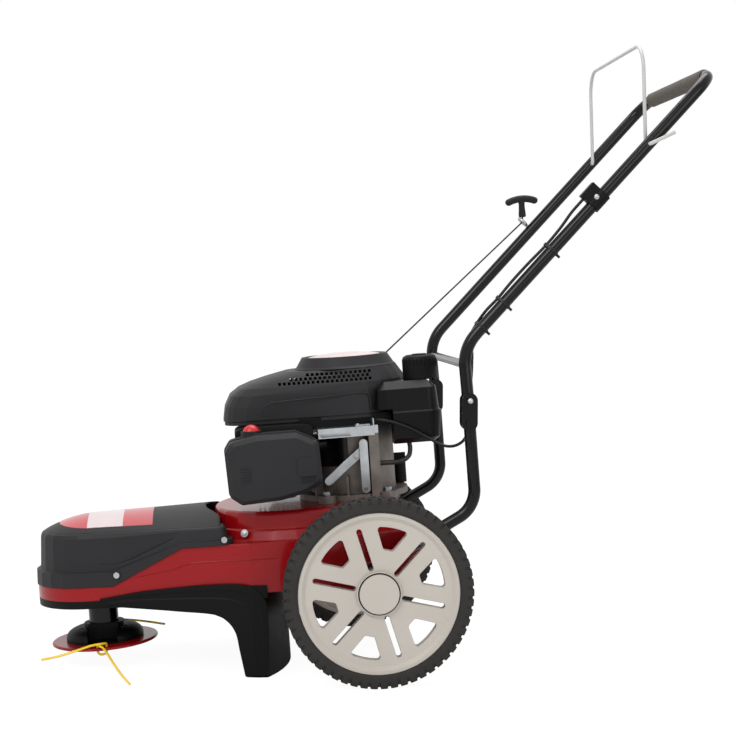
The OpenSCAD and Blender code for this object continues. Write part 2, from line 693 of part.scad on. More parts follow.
// Engine cover: shares of its height, with the nose drawn back and the sides drawn in at each
shroud_t = 3;
shroud_nose_half = 88;
shroud_nose_r = 50;
shroud_shares = [0, 0.3, 0.55, 0.7, 0.8, 0.9, 1];
shroud_backs = [0, 4, 14, 30, 50, 78, 112];
shroud_ins = [0, 0, 0, 2, 7, 12, 17];
shroud_top = len(shroud_shares) - 1;
shroud_low = platform_h + shroud_base;
function shroud_ring(i, inset, z) = let (r = blower_r - shroud_ins[i])
    level(plan(-shroud_reach + shroud_backs[i], r, shroud_nose_half - shroud_ins[i], r, shroud_nose_r,
        r - over,
        inset), shroud_low + z);
// The vent grille: rows of square holes up both shoulders, each row from the end of the rounded nose
vent_rows = 3;
vent_pitch = 8;
vent_hole = 4.6;
vent_base_share = 0.76;
vent_from = 6;
vent_to = 34;
vent_in = 58;
module vent_grille() for (row = [0:vent_rows - 1]) {
    z = vent_base_share * shroud_h + row * (vent_hole + shroud_t / 2);
    back = lookup(z / shroud_h, [for (i = [0:shroud_top]) [shroud_shares[i], shroud_backs[i]]]);
    first = -shroud_reach + back + shroud_nose_r + vent_from;
    for (x = [vent_to - row % 2 * vent_pitch / 2:-vent_pitch:first], s = [-1, 1])
        translate([x, s * (vent_in + vent_in / 2), shroud_low + z])
            cube([vent_hole, vent_in, vent_hole], center = true);
}
module blower_shroud() color(black_plastic) at_crank() difference() {
    loft([for (i = [0:shroud_top]) shroud_ring(i, 0, shroud_shares[i] * shroud_h)]);
    loft([for (i = [0:shroud_top]) shroud_ring(i, shroud_t, i == 0 ? -over
        : shroud_shares[i] * (shroud_h - shroud_t))]);
    translate([0, 0, shroud_low]) cylinder(h = 2 * shroud_h, r = recoil_r + seat_gap, $fn = fine);
    stand(mouth_at - mouth_dir * (mouth_len + over), mouth_dir)
        cylinder(h = mouth_len + over, r = mouth_r + seat_gap, $fn = fine);
    vent_grille();
}

// Backing plate: closes the engine cover from below, on top of the crankcase
plate_hole_r = 40;
plate_inset = 2;
module backing_plate() color(black_plastic) at_crank() translate([0, 0, platform_h + case_h + seat_gap])
    linear_extrude(shroud_base - case_h - 2 * seat_gap) difference() {
        polygon(plan(-shroud_reach, blower_r, shroud_nose_half, blower_r, shroud_nose_r, blower_r - over,
            plate_inset));
        circle(plate_hole_r, $fn = fine);
    }

// Recoil cover: the dome on the engine cover that holds the pull starter
recoil_r = 82;
recoil_h = 20;
recoil_top_r = 70;
recoil_spigot = 20;
recoil_t = 4;
recoil_low = shroud_low + shroud_h;
badge_r = 66;
badge_sink = 1.5;
mouth_rise = 10.5;
mouth_at = [72.4, 60, recoil_low + mouth_rise];
mouth_dir = unit([0.742, 0.362, 0.564]);
mouth_r = 6;
mouth_len = 18;
recoil_flange_r = blower_r - shroud_ins[shroud_top];
module recoil_cover() color(black_plastic) at_crank() {
    stand(mouth_at - mouth_dir * mouth_len, mouth_dir) cylinder(h = mouth_len, r = mouth_r, $fn = fine);
    translate([0, 0, recoil_low]) rotate_extrude($fn = fine) polygon([
        [0, recoil_h - recoil_t], [recoil_top_r - recoil_t, recoil_h - recoil_t],
        [recoil_r - recoil_t, 0], [recoil_r - recoil_t, -recoil_spigot],
        [recoil_r, -recoil_spigot], [recoil_r, seat_gap],
        [recoil_flange_r, seat_gap], [recoil_flange_r - recoil_t, recoil_t],
        [recoil_top_r + recoil_t, recoil_h], [badge_r, recoil_h],
        [badge_r, recoil_h - badge_sink], [0, recoil_h - badge_sink]]);
}

// Fuel tank: wraps the rear left of the blower housing
tank_front = 34;
tank_rear = 148;
tank_left = 128;
tank_right = 58;
tank_hang = 54;
tank_low = shroud_base - tank_hang;
tank_h = 104;
tank_r = 22;
tank_gap = 2;
tank_notch = 31;
tank_notch_h = 59;
tank_shares = [0, 0.08, 0.5, 0.53, 0.88, 1];
tank_ins = [14, 4, 0, 3, 6, 22];
neck_x = 121;
neck_y = -75;
neck_r = 20;
neck_h = 8;
cap_h = 42;
tank_top = platform_h + tank_low + tank_h;
module fuel_tank() color(black_plastic) at_crank() difference() {
    union() {
        translate([0, (tank_right - tank_left) / 2, 0]) loft([for (i = [0:len(tank_shares) - 1])
            level(plan(tank_front, tank_rear, (tank_left + tank_right) / 2, (tank_left + tank_right) / 2,
                tank_r, tank_r, min(tank_ins[i], tank_r - over)),
                    platform_h + tank_low + tank_shares[i] * tank_h)]);
        translate([neck_x, neck_y, tank_top - over]) cylinder(h = neck_h, r = neck_r, $fn = fine);
    }
    cylinder(h = vast, r = blower_r + tank_gap, $fn = fine);
    translate([tank_front - over, -vast, 0])
        cube([tank_notch + over, vast, platform_h + tank_low + tank_notch_h]);
}

cap_ribs = 24;
cap_rib_r = 2;
cap_shares = [[0, 0], [1, 0], [1, 0.78], [0.92, 0.9], [0.76, 0.96], [0.72, 0.93], [0.44, 0.95], [0.4, 1],
    [0, 1]];
module fuel_cap() color(black_plastic) at_crank() translate([neck_x, neck_y, tank_top + seat_gap])
    difference() {
    rotate_extrude($fn = fine) polygon([for (p = cap_shares) [p[0] * cap_d / 2, p[1] * cap_h]]);
    translate([0, 0, -over]) cylinder(h = neck_h + over, r = neck_r + run_fit, $fn = fine);
    for (i = [0:cap_ribs - 1]) rotate(i * 360 / cap_ribs)
        translate([cap_d / 2 + cap_rib_r / 2, 0, cap_h / 2])
        cylinder(h = cap_h, r = cap_rib_r, $fn = fine);
}

// Fuel hose: from the outlet under the tank, in a loop, to the carburettor
hose_r = 4;
hose_sides = 10;
hose_steps = 4;
hose_route = [[92, -96, 92.5], [93, -96, 82], [90, -97, 70], [80, -97, 63], [66, -92, 60], [52, -88, 60],
    [41.3, -87, 60]];
module fuel_hose() color(rubber) at_crank() translate([0, 0, platform_h])
    cord(smooth(hose_route, hose_steps), hose_r, [0, 1, 0], hose_sides);

// Air filter: outline of the cover as shares of its width and height, front end first
filter_shares = [[0, 0.8], [0.06, 0.93], [0.33, 1], [0.755, 1], [0.98, 0.84], [1, 0.24], [0.81, 0.11],
    [0.55, 0.03],
    [0.14, 0], [0.02, 0.13]];
filter_front = -217;
filter_low = 20;
filter_face = 190;
filter_deep = 34;
filter_round = 10;
filter_bevel = 7;
filter_base_t = 26;
module filter_outline(inset) offset(r = filter_round, $fn = coarse) offset(delta = -filter_round - inset)
    polygon([for (p = filter_shares) [p[0] * filter_w, p[1] * filter_h]]);
module at_filter(y) at_crank() translate([filter_front, -y, platform_h + filter_low]) rotate([90, 0, 0])
    children();
// Ribs and the latch on its face: places and sizes as shares of the cover's width and height
filter_ribs = 6;
latch_ribs = 3;
rib_w = 1.8;
rib_rise = 1.2;
rib_shares = [[0.148, 0.33], [0.254, 0.54]];
latch_shares = [[0.74, 0.36], [0.95, 0.64]];
latch_rib_shares = [[0.77, 0.27], [0.92, 0.33]];
latch_rise = 2;
latch_r = 5;
module face_ribs(count, shares) for (i = [0:count - 1])
    translate([shares[0][0] * filter_w, (shares[0][1] + (shares[1][1] - shares[0][1]) * i / (count - 1))
        * filter_h,
        filter_deep - over]) cube([(shares[1][0] - shares[0][0]) * filter_w, rib_w, rib_rise + over]);
module air_filter_cover() color(black_plastic) at_filter(filter_face - filter_deep) {
    difference() {
        hull() {
            linear_extrude(filter_deep - filter_bevel) filter_outline(0);
            linear_extrude(filter_deep) filter_outline(filter_bevel);
        }
        translate([0, 0, -over]) linear_extrude(filter_deep - filter_bevel) filter_outline(cover_t);
    }
    face_ribs(filter_ribs, rib_shares);
    face_ribs(latch_ribs, latch_rib_shares);
    translate([latch_shares[0][0] * filter_w, latch_shares[0][1] * filter_h, filter_deep - over])
        round_box([(latch_shares[1][0] - latch_shares[0][0]) * filter_w,
            (latch_shares[1][1] - latch_shares[0][1]) * filter_h, latch_rise + over], latch_r);
}
filter_inner = filter_face - filter_deep - seat_gap - filter_base_t;
module air_filter_base() color(black_plastic) at_filter(filter_inner)
    difference() {
        union() {
            linear_extrude(filter_base_t) filter_outline(-cover_t / 2);
            at_primer(primer_seat) cylinder(h = primer_seat + primer_lip, r = primer_r + cover_t,
                $fn = fine);
        }
        at_primer(primer_travel) cylinder(h = primer_h + primer_travel, r = primer_r + run_fit, $fn = fine);
    }
// Children drawn upwards from a drop below the primer's seat, in the filter base's own frame
module at_primer(drop) translate([primer_x - filter_front, primer_z - drop - filter_low,
    -primer_y - filter_inner])
    rotate([-90, 0, 0]) children();

// Carburettor: between the filter base and the cylinder
carb_w = 44;
carb_h = 46;
carb_x = -146;
carb_y = barrel_w / 2 + seat_gap;
carb_deep = filter_inner - carb_y - seat_gap;
bowl_r = 20;
bowl_h = 24;
module carburettor() color(casting) at_crank() translate([carb_x, -carb_y - carb_deep,
    platform_h + barrel_z - carb_h / 2]) {
    cube([carb_w, carb_deep, carb_h]);
    translate([carb_w / 2, carb_deep / 2, -bowl_h]) cylinder(h = bowl_h, r = bowl_r, $fn = fine);
}

// Primer bulb: a soft red button on top of the filter base
primer_r = 14;
primer_h = 13;
primer_x = -172;
primer_y = primer_r + cover_t - filter_inner - filter_base_t;
primer_seat = 14;
primer_lip = 3;
primer_travel = 6;
primer_z = filter_low + filter_h + cover_t;
module primer_bulb() color("red") at_crank() translate([primer_x, primer_y, platform_h + primer_z])
    rotate_extrude($fn = fine)
    intersection() {
        translate([0, primer_h - primer_r]) circle(primer_r, $fn = fine);
        square([primer_r, primer_h]);
    }

// Muffler: a pressed can on the right of the cylinder, behind a slotted guard
muffler_size = [120, 46, 76];
muffler_x = -140;
muffler_y = 96;
muffler_z = 30;
muffler_r = 14;
exhaust_r = 12;
module muffler() color(zinc) at_crank() translate([muffler_x, muffler_y, platform_h + muffler_z]) {
    translate([0, muffler_size[1], 0]) rotate([90, 0, 0])
        round_box([muffler_size[0], muffler_size[2], muffler_size[1]], muffler_r);
    translate([muffler_size[0] / 2, 0, muffler_size[2] / 2]) rotate([90, 0, 0])
        cylinder(h = muffler_y - barrel_w / 2 - seat_gap, r = exhaust_r, $fn = fine);
}
guard_gap = 5;
muffler_guard_t = 2;
slot_count = 7;
slot_w = 6;
slot_share = 0.62;
post_r = 4;
post_shares = [0.25, 0.75];
module muffler_guard() color(black_paint) at_crank()
    translate([muffler_x - guard_gap, muffler_y + muffler_size[1], platform_h + muffler_z - guard_gap]) {
        w = muffler_size[0] + 2 * guard_gap;
        h = muffler_size[2] + 2 * guard_gap;
        difference() {
            translate([0, guard_gap, 0]) rotate([90, 0, 0])
                round_box([w, h, guard_gap - seat_gap], muffler_r);
            translate([muffler_guard_t, guard_gap - muffler_guard_t, muffler_guard_t]) rotate([90, 0, 0])
                round_box([w - 2 * muffler_guard_t, h - 2 * muffler_guard_t, guard_gap],
                    muffler_r - muffler_guard_t);
            for (i = [0:slot_count - 1]) translate([(i + 0.5) * w / slot_count - slot_w / 2, 0,
                h * (1 - slot_share) / 2])
                cube([slot_w, 2 * guard_gap, h * slot_share]);
        }
        for (share = post_shares) translate([share * w, guard_gap - muffler_guard_t / 2,
            h * (1 + slot_share) / 2 + post_r])
            rotate([90, 0, 0]) cylinder(h = guard_gap - muffler_guard_t / 2 - seat_gap, r = post_r,
                $fn = fine);
    }

// Oil cap: a filler cap with a grip across it, at the rear of the sump
oil_x = 86;
oil_y = 36;
oil_h = 40;
oil_r = 12;
oil_grip_h = 12;
oil_grip_t = 6;
module oil_cap() color(black_plastic) at_crank() translate([oil_x, oil_y, platform_h + sump_t]) {
    cylinder(h = oil_h, r = oil_r, $fn = fine);
    translate([0, 0, oil_h]) linear_extrude(oil_grip_h) square([2 * oil_r, oil_grip_t], center = true);
}

// Controls on the left of the crankcase: a folded bracket, the governor arm and the brake lever
bracket_t = 2;
bracket_x = -62;
bracket_w = 94;
bracket_deep = 34;
bracket_y = -128;
bracket_under = 14;
bracket_z = case_h - bracket_under;
bracket_drop = 14;
lever_pin_r = 3;
governor_x = 14;
governor_w = 14;
governor_h = 84;
governor_t = 3;
governor_z = 20;
governor_gap = 24;
brake_x = 6;
brake_len = 20;
brake_w = 12;
module control_bracket() color(zinc) at_crank() translate([0, 0, platform_h]) {
    translate([bracket_x, bracket_y, bracket_z]) cube([bracket_w, bracket_deep, bracket_t]);
    translate([bracket_x, bracket_y, bracket_z - bracket_drop]) cube([bracket_w, bracket_t, bracket_drop]);
    translate([bracket_x + bracket_w - bracket_t, bracket_y, bracket_z])
        cube([bracket_t, bracket_deep, bracket_drop]);
    translate([pillar_from + seat_gap, -pillar_out, pillar_h + seat_gap])
        cube([pillar_w, bracket_t, bracket_z - pillar_h]);
    translate([brake_x, bracket_y + bracket_deep / 2, bracket_z])
        cylinder(h = 3 * bracket_t, r = lever_pin_r, $fn = fine);
}
module governor_lever() color(zinc) at_crank() translate([governor_x, -case_r - governor_gap,
    platform_h + governor_z]) rotate([90, 0, 0]) difference() {
    union() {
        translate([-governor_w / 2, 0, 0]) cube([governor_w, governor_h - governor_w / 2, governor_t]);
        cylinder(h = governor_t, r = governor_w / 2, $fn = fine);
        translate([0, governor_h - governor_w / 2, 0])
            cylinder(h = governor_t, r = governor_w / 2, $fn = fine);
    }
    translate([0, 0, -over]) cylinder(h = governor_t + 2 * over, r = lever_pin_r + run_fit, $fn = fine);
}
module brake_lever() color(zinc) at_crank() translate([brake_x, bracket_y + bracket_deep / 2,
    platform_h + bracket_z + bracket_t + seat_gap]) difference() {
    union() {
        cylinder(h = bracket_t, r = brake_w / 2, $fn = fine);
        translate([0, -brake_w / 2, 0]) cube([brake_len, brake_w, bracket_t]);
    }
    translate([0, 0, -over]) cylinder(h = bracket_t + 2 * over, r = lever_pin_r + run_fit, $fn = fine);
}

// Axle: a fixed rod through the deck, with spacers that hold the wheels out and a nut at either end
axle_r = axle_d / 2;
hub_len = 50;
spacer_wall = 4;
nut_r = 12;
nut_h = 5;
hub_recess = 13;
wheel_in = track / 2 - hub_len / 2;
axle_out = track / 2 + hub_len / 2 - hub_recess;
module axle() color(zinc) on_axle() rotate([90, 0, 0]) {
    cylinder(h = 2 * (axle_out + nut_h), r = axle_r, center = true, $fn = fine);
    for (s = [0, 1]) mirror([0, 0, s]) translate([0, 0, deck_half_w + seat_gap])
        cylinder(h = wheel_in - deck_half_w - 2 * seat_gap, r = axle_r + spacer_wall, $fn = fine);
}
module axle_nuts() color(zinc) on_axle() both_sides() rotate([90, 0, 0])
    translate([0, 0, axle_out + seat_gap]) difference() {
    cylinder(h = nut_h, r = nut_r, $fn = 6);
    translate([0, 0, -over]) cylinder(h = nut_h + 2 * over, r = axle_r, $fn = fine);
}

// Rim: a moulded wheel with double spokes, drawn with its outer face towards +Z
rim_r = wheel_d / 2 - tyre_h;
barrel_t = 6;
rim_edge = 4;
spoke_t = 16;
spoke_sink = 5;
rim_hub_r = 36;
rim_boss_r = 22;
window_in = 70;
window_out = 107;
window_in_half = 8;
window_out_half = 28;
window_round = 5;
slot_in = 42;
slot_out = 104;
spoke_slot_w = 8.8;
spoke_turn = 48;
bead_w = 12;
module rim_window() offset(r = window_round, $fn = coarse) offset(delta = -window_round) intersection() {
    circle(window_out, $fn = fine);
    polygon([[window_in, -window_in_half], [window_in, window_in_half], [window_out, window_out_half],
        [window_out + window_round, window_out_half], [window_out + window_round, -window_out_half],
        [window_out, -window_out_half]]);
}
module spoke_slot() {
    translate([slot_in, -spoke_slot_w / 2]) square([slot_out - slot_in, spoke_slot_w]);
    for (x = [slot_in, slot_out]) translate([x, 0]) circle(d = spoke_slot_w, $fn = coarse);
}
module rim() difference() {
    face = tyre_w / 2 - rim_edge;
    rotate_extrude($fn = fine) polygon([[axle_r + run_fit, -hub_len / 2], [rim_boss_r, -hub_len / 2],
        [rim_boss_r, face - spoke_sink - spoke_t], [rim_r - barrel_t, face - spoke_sink - spoke_t],
        [rim_r - barrel_t, -face], [rim_r, -face], [rim_r, face], [rim_r - barrel_t, face],
        [rim_r - bead_w, face - spoke_sink], [rim_hub_r, face - spoke_sink], [rim_hub_r, face],
        [rim_hub_r - rim_edge, face], [rim_hub_r - rim_edge, hub_len / 2 - hub_recess],
            [axle_r + run_fit, hub_len / 2 - hub_recess]]);
    for (i = [0:spoke_count - 1]) translate([0, 0, -tyre_w]) linear_extrude(2 * tyre_w) {
        rotate(spoke_turn + i * 360 / spoke_count) spoke_slot();
        rotate(spoke_turn + (i + 0.5) * 360 / spoke_count) rim_window();
    }
}

// Tyre: a solid rubber ring with three rows of blocks
tread_depth = 5;
groove_w = 4;
block_gap = 5;
shoulder = 4;
tyre_wall = 4;
module tyre() difference() {
    half = tyre_w / 2;
    top = wheel_d / 2;
    row = tyre_w / 6;
    rotate_extrude($fn = fine) polygon([[rim_r + seat_gap, -half + rim_edge], [rim_r + tyre_wall, -half],
        [top - 2 * shoulder, -half],
        [top, -half + shoulder], [top, -row - groove_w / 2], [top - tread_depth, -row - groove_w / 2],
        [top - tread_depth, -row + groove_w / 2], [top, -row + groove_w / 2], [top, row - groove_w / 2],
        [top - tread_depth, row - groove_w / 2], [top - tread_depth, row + groove_w / 2],
            [top, row + groove_w / 2],
        [top, half - shoulder], [top - 2 * shoulder, half], [rim_r + tyre_wall, half],
            [rim_r + seat_gap, half - rim_edge]]);
    for (i = [0:block_count - 1], s = [-1, 1]) rotate((i + s / 4) * 360 / block_count)
        translate([top - tread_depth, -block_gap / 2, s > 0 ? row : -half - over])
            cube([tyre_w, block_gap, half - row + over]);
}

cap_t = 3;
module hub_cap() translate([0, 0, hub_len / 2 - hub_recess]) difference() {
    face = tyre_w / 2 - rim_edge;
    h = face - hub_len / 2 + hub_recess + cap_t;
    cylinder(h = h, r = rim_hub_r - rim_edge - seat_gap, $fn = fine);
    translate([0, 0, -cap_t]) cylinder(h = h, r = rim_hub_r - 2 * rim_edge, $fn = fine);
}

module at_wheel(right) on_axle() on_side(right) translate([0, -track / 2, 0]) rotate([90, 0, 0]) children();
module left_rim() color(rim_plastic) at_wheel(false) rim();
module left_tyre() color(rubber) at_wheel(false) tyre();
module left_hub_cap() color(rim_plastic) at_wheel(false) hub_cap();
module right_rim() color(rim_plastic) at_wheel(true) rim();
module right_tyre() color(rubber) at_wheel(true) tyre();
module right_hub_cap() color(rim_plastic) at_wheel(true) hub_cap();

// Handle: places behind the axle and heights above it, on the line of each rail
tube_r = tube_d / 2;
tube_bore = tube_r - tube_wall;
rail_y = rail_gap / 2;
lower_foot = [-40, 10];
lower_bend = [163, 129.5];
fold_pivot = [151, 303.5];
lower_top = fold_pivot - [0, 2 * tube_r - over];
upper_foot = fold_pivot - [0, tube_r];
upper_bend = [142, 388.5];
grip_place = [550.6, 834.5];
lower_bend_r = 50;
upper_bend_r = 70;
grip_bend_r = 40;
function on_rail(p, y) = [p[0], y, p[1]];

handle_bolt_r = 4;
handle_bolt_shares = [0.16, 0.56];
function lower_at(share) = lower_foot + share * (lower_bend - lower_foot);
// Places the handle bolts: children drawn along +Z run inwards from the left
module handle_bolt_places() for (share = handle_bolt_shares)
    translate([lower_at(share)[0], 0, lower_at(share)[1]]) rotate([-90, 0, 0]) children();

module lower_tube() difference() {
    bent_pipe([on_rail(lower_foot, -rail_y), on_rail(lower_bend, -rail_y), on_rail(lower_top, -rail_y)],
        [lower_bend_r], tube_r, tube_bore);
    handle_bolt_places() translate([0, 0, -rail_y - tube_d])
        cylinder(h = 2 * tube_d, r = handle_bolt_r + seat_gap, $fn = fine);
    translate([lower_top[0], -rail_y, fold_pivot[1] - plate_bolt_drop]) rotate([90, 0, 0])
        cylinder(h = 2 * tube_d, r = fold_bolt_r + seat_gap, center = true, $fn = fine);
}
module left_lower_handle() color(black_paint) on_axle() lower_tube();
module right_lower_handle() color(black_paint) on_axle() on_side(true) lower_tube();

// Handle bolts: each runs through a tube and a spacer into the side of the deck
spacer_r = 8;
bolt_tip = 8;
module handle_bolts() color(zinc) on_axle() both_sides() handle_bolt_places() {
    translate([0, 0, -rail_y - tube_r - bolt_head_h - seat_gap])
        cylinder(h = bolt_head_h, r = bolt_head_r, $fn = 6);
    translate([0, 0, -rail_y - tube_r - bolt_head_h])
        cylinder(h = rail_y + tube_r + bolt_head_h - deck_half_w + bolt_tip, r = handle_bolt_r, $fn = fine);
    translate([0, 0, -rail_y + tube_r + seat_gap])
        cylinder(h = rail_y - tube_r - 2 * seat_gap - deck_half_w, r = spacer_r, $fn = fine);
    translate([0, 0, -deck_half_w + deck_t + seat_gap + deck_t])
        cylinder(h = bolt_head_h, r = bolt_head_r, $fn = 6);
}

// Fold plates: a pair on either side of each rail, with a fixed bolt below and the pivot bolt above
fold_bolt_r = 4;
plate_bolt_drop = 36;
plate_half = 13;
plate_t = 2.5;
plate_gap = 0.4;
module fold_plate() difference() {
    union() {
        translate([-plate_half, -plate_bolt_drop]) square([2 * plate_half, plate_bolt_drop]);
        for (z = [0, -plate_bolt_drop]) translate([0, z]) circle(plate_half, $fn = fine);
    }
}
module fold_plates() color(black_paint) on_axle() both_sides()
    translate([fold_pivot[0], -rail_y, fold_pivot[1]]) rotate([90, 0, 0]) {
    for (z = [tube_r + plate_gap, -tube_r - plate_gap - plate_t]) translate([0, 0, z])
        linear_extrude(plate_t) fold_plate();
    for (drop = [0, plate_bolt_drop]) translate([0, -drop, 0]) {
        h = 2 * (tube_r + plate_gap + plate_t + bolt_head_h);
        cylinder(h = h, r = fold_bolt_r, center = true, $fn = fine);
        for (s = [0, 1]) mirror([0, 0, s]) translate([0, 0, tube_r + plate_gap + plate_t])
            cylinder(h = bolt_head_h, r = bolt_head_r, $fn = 6);
    }
}

rail_run = grip_place - upper_bend;
rail_dir = unit(rail_run);
function rail_at(s) = upper_bend + rail_dir * s;
bail_pivot_s = 448;
bail_pivot = rail_at(bail_pivot_s);
module upper_handle() color(black_paint) on_axle() difference() {
    bent_pipe([on_rail(upper_foot, -rail_y), on_rail(upper_bend, -rail_y), on_rail(grip_place, -rail_y),
        on_rail(grip_place, rail_y), on_rail(upper_bend, rail_y), on_rail(upper_foot, rail_y)],
        [upper_bend_r, grip_bend_r, grip_bend_r, upper_bend_r], tube_r, tube_bore);
    translate([fold_pivot[0], 0, fold_pivot[1]]) rotate([90, 0, 0])
        cylinder(h = 2 * rail_gap, r = fold_bolt_r + run_fit, center = true, $fn = fine);
    translate([bail_pivot[0], 0, bail_pivot[1]]) rotate([90, 0, 0])
        cylinder(h = 2 * rail_gap, r = bail_d / 2 + run_fit, center = true, $fn = fine);
}

// Brace: a tube between the rails above the fold
brace_r = 7;
brace_h = 362;
brace_x = upper_foot[0] + (upper_bend[0] - upper_foot[0]) * (brace_h - upper_foot[1])
    / (upper_bend[1] - upper_foot[1]);
module handle_brace() color(black_paint) on_axle() difference() {
    translate([brace_x, 0, brace_h]) rotate([90, 0, 0]) linear_extrude(rail_gap - tube_r, center = true)
        ring(brace_r, brace_r - tube_wall);
    for (s = [-1, 1]) bent_pipe([on_rail(upper_foot, s * rail_y), on_rail(upper_bend, s * rail_y),
        on_rail(grip_place, s * rail_y)], [upper_bend_r], tube_r + seat_gap);
}

module foam_grip() color(foam) on_axle() translate([grip_place[0], 0, grip_place[1]])
    rotate([90, 0, 0])
    linear_extrude(grip_len, center = true) ring(grip_d / 2, tube_r + run_fit);

// Bail: a wire loop whose legs run inside the rails and whose ends pivot in them
bail_r = bail_d / 2;
bail_lean = 92;
bail_bend_r = 42;
bail_leg_y = rail_y - tube_r - bail_d;
bail_end_y = rail_y + tube_r + bail_d;
bail_tail = 44;
bail_tail_turn = 25;
bail_corner_r = 8;
bail_top = bail_pivot + bail_len * [cos(bail_lean), sin(bail_lean)];
module control_bail() color("whitesmoke") on_axle()
    bent_pipe([on_rail(bail_pivot + bail_tail * [cos(bail_tail_turn), sin(bail_tail_turn)], -bail_end_y),
    on_rail(bail_pivot, -bail_end_y), on_rail(bail_pivot, -bail_leg_y), on_rail(bail_top, -bail_leg_y),
    on_rail(bail_top, bail_leg_y), on_rail(bail_pivot, bail_leg_y), on_rail(bail_pivot, bail_end_y)],
    [bail_corner_r / 2, bail_corner_r / 2, bail_bend_r, bail_bend_r, bail_corner_r / 2], bail_r);

// Cable clamp: a plastic band round the left rail that anchors the brake cable
clamp_s = 325;
clamp_len = 30;
clamp_t = 3;
clamp_boss = 16;
cable_r = 2.5;
cable_out = tube_r + cable_r + clamp_t;
rail_up = [-rail_dir[1], rail_dir[0]];
module at_rail(s, y) {
    p = rail_at(s);
    translate([p[0], y, p[1]]) rotate([0, -atan2(rail_dir[1], rail_dir[0]), 0]) rotate([0, 90, 0])
        children();
}
module cable_clamp() color(black_plastic) on_axle() at_rail(clamp_s, -rail_y) difference() {
    union() {
        cylinder(h = clamp_len, r = tube_r + clamp_t, center = true, $fn = fine);
        translate([-tube_r - clamp_boss, -clamp_boss / 2, -clamp_len / 2])
            cube([clamp_boss, clamp_boss, clamp_len]);
    }
    cylinder(h = clamp_len + 2 * over, r = tube_r + run_fit, center = true, $fn = fine);
    translate([-cable_out - clamp_t, 0, 0]) cylinder(h = clamp_len + 2 * over, r = cable_r + run_fit,
        center = true, $fn = fine);
}

// Brake cable, in the plane of the left rail but for its lower end: from the engine's bracket to the fold,
// and from the fold up the rail to the clamp
cable_sides = 10;
cable_steps = 3;
cable_aside = [0.1, 1, 0.1];
cable_lower_route = [[5.2, -121, 266], [12, -127, 267], [22, -132, 266], [40, -134, 262], [66, -135, 252],
    [92, -140, 238], [116, -152, 226], [140, -168, 228], [162, -184, 244], [174, -196, 266],
        [176, -200, 288],
    [174, -200, 303]];
cable_shares = [0.62, 0.8, 0.9, 1];
function beside_rail(s) = on_rail(rail_at(s) + rail_up * (cable_out + clamp_t), -rail_y);
cable_upper_route = concat([[174, -200, 304], [172, -200, 330], [170, -201, 358], [170, -206, 380],
    [176, -213, 400], [186, -217, 418], [198, -216.5, 440], [212, -213.5, 470], [222, -207, 492],
        [236, -202, 512]],
    [for (share = cable_shares) beside_rail(clamp_s * share)]);
module brake_cable_lower() color(rubber) on_axle()
    cord(smooth(cable_lower_route, cable_steps), cable_r, cable_aside, cable_sides);
module brake_cable_upper() color(rubber) on_axle()
    cord(smooth(cable_upper_route, cable_steps), cable_r, cable_aside, cable_sides);

// Rope guide: an eye bolt through the right rail
guide_s = 281;
guide_stand = 12;
eye_r = 8;
eye_wire = 3;
module rope_guide() color(zinc) on_axle() at_rail(guide_s, rail_y) {
    translate([-tube_r - guide_stand, 0, 0]) rotate_extrude($fn = fine) translate([eye_r, 0])
        circle(eye_wire, $fn = fine);
    translate([-tube_r - guide_stand + eye_r, 0, 0]) rotate([0, 90, 0])
        cylinder(h = guide_stand - eye_r - seat_gap, r = eye_wire, $fn = fine);
}

// Starter grip: a T handle that stands on the rope guide
pull_dir = unit([-0.09, -0.15, 0.98]);
stem_len = 34;
stem_r = 6;
bar_r = 6.5;
arch_r = 62;
arch_half = 29;
eye_at = rail_at(guide_s) + rail_up * (tube_r + guide_stand);
eye_across = norm(cross(pull_dir, [rail_dir[0], 0, rail_dir[1]]));
grip_foot = [eye_at[0], rail_y, eye_at[1]] + pull_dir * (eye_r * eye_across + eye_wire + seat_gap);
module starter_grip() color(black_plastic) on_axle() stand(grip_foot, pull_dir) {
    cylinder(h = stem_len, r1 = stem_r + over, r2 = stem_r, $fn = fine);
    translate([0, 0, stem_len - arch_r]) rotate([0, -90, 0]) rotate(-arch_half)
        rotate_extrude(angle = 2 * arch_half, $fn = fine) translate([arch_r, 0]) circle(bar_r, $fn = fine);
}

// Starter rope: straight from the recoil cover's mouth to the rope guide
rope_r = 1.5;
rope_sides = 8;
rope_from = [37, 60, 366];
rope_shares = [0, 0.2, 0.4, 0.6, 0.8, 1];
rope_route = [for (share = rope_shares) rope_from + share * ([eye_at[0], rail_y, eye_at[1]] - rope_from)];
module starter_rope() color(rubber) on_axle() cord(rope_route, rope_r, [0, 1, 0.2], rope_sides);

deck();
belt_cover();
cover_screws();
debris_guard();
spindle_housing();
spindle_bearings();
spindle_shaft();
driven_pulley();
drive_belt();
drive_pulley();
crankshaft();
flywheel();
trimmer_hub();
trimmer_disc();
trimmer_line_near();
trimmer_line_far();
crankcase();
engine_bolts();
cylinder_block();
rocker_cover();
spark_plug();
plug_boot();
backing_plate();
blower_shroud();
recoil_cover();
fuel_tank();
fuel_cap();
fuel_hose();
air_filter_base();
air_filter_cover();
carburettor();
primer_bulb();
muffler();
muffler_guard();
control_bracket();
governor_lever();
brake_lever();
oil_cap();
axle();
axle_nuts();
left_rim();
left_tyre();
left_hub_cap();
right_rim();
right_tyre();
right_hub_cap();
left_lower_handle();
right_lower_handle();
handle_bolts();
fold_plates();
upper_handle();
handle_brace();
foam_grip();
control_bail();
cable_clamp();
brake_cable_lower();
brake_cable_upper();
starter_grip();
rope_guide();
starter_rope();
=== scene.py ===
# Wheeled string trimmer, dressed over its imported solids.
# Metres; +X to the rear, +Y to the machine's right, +Z up.
import json

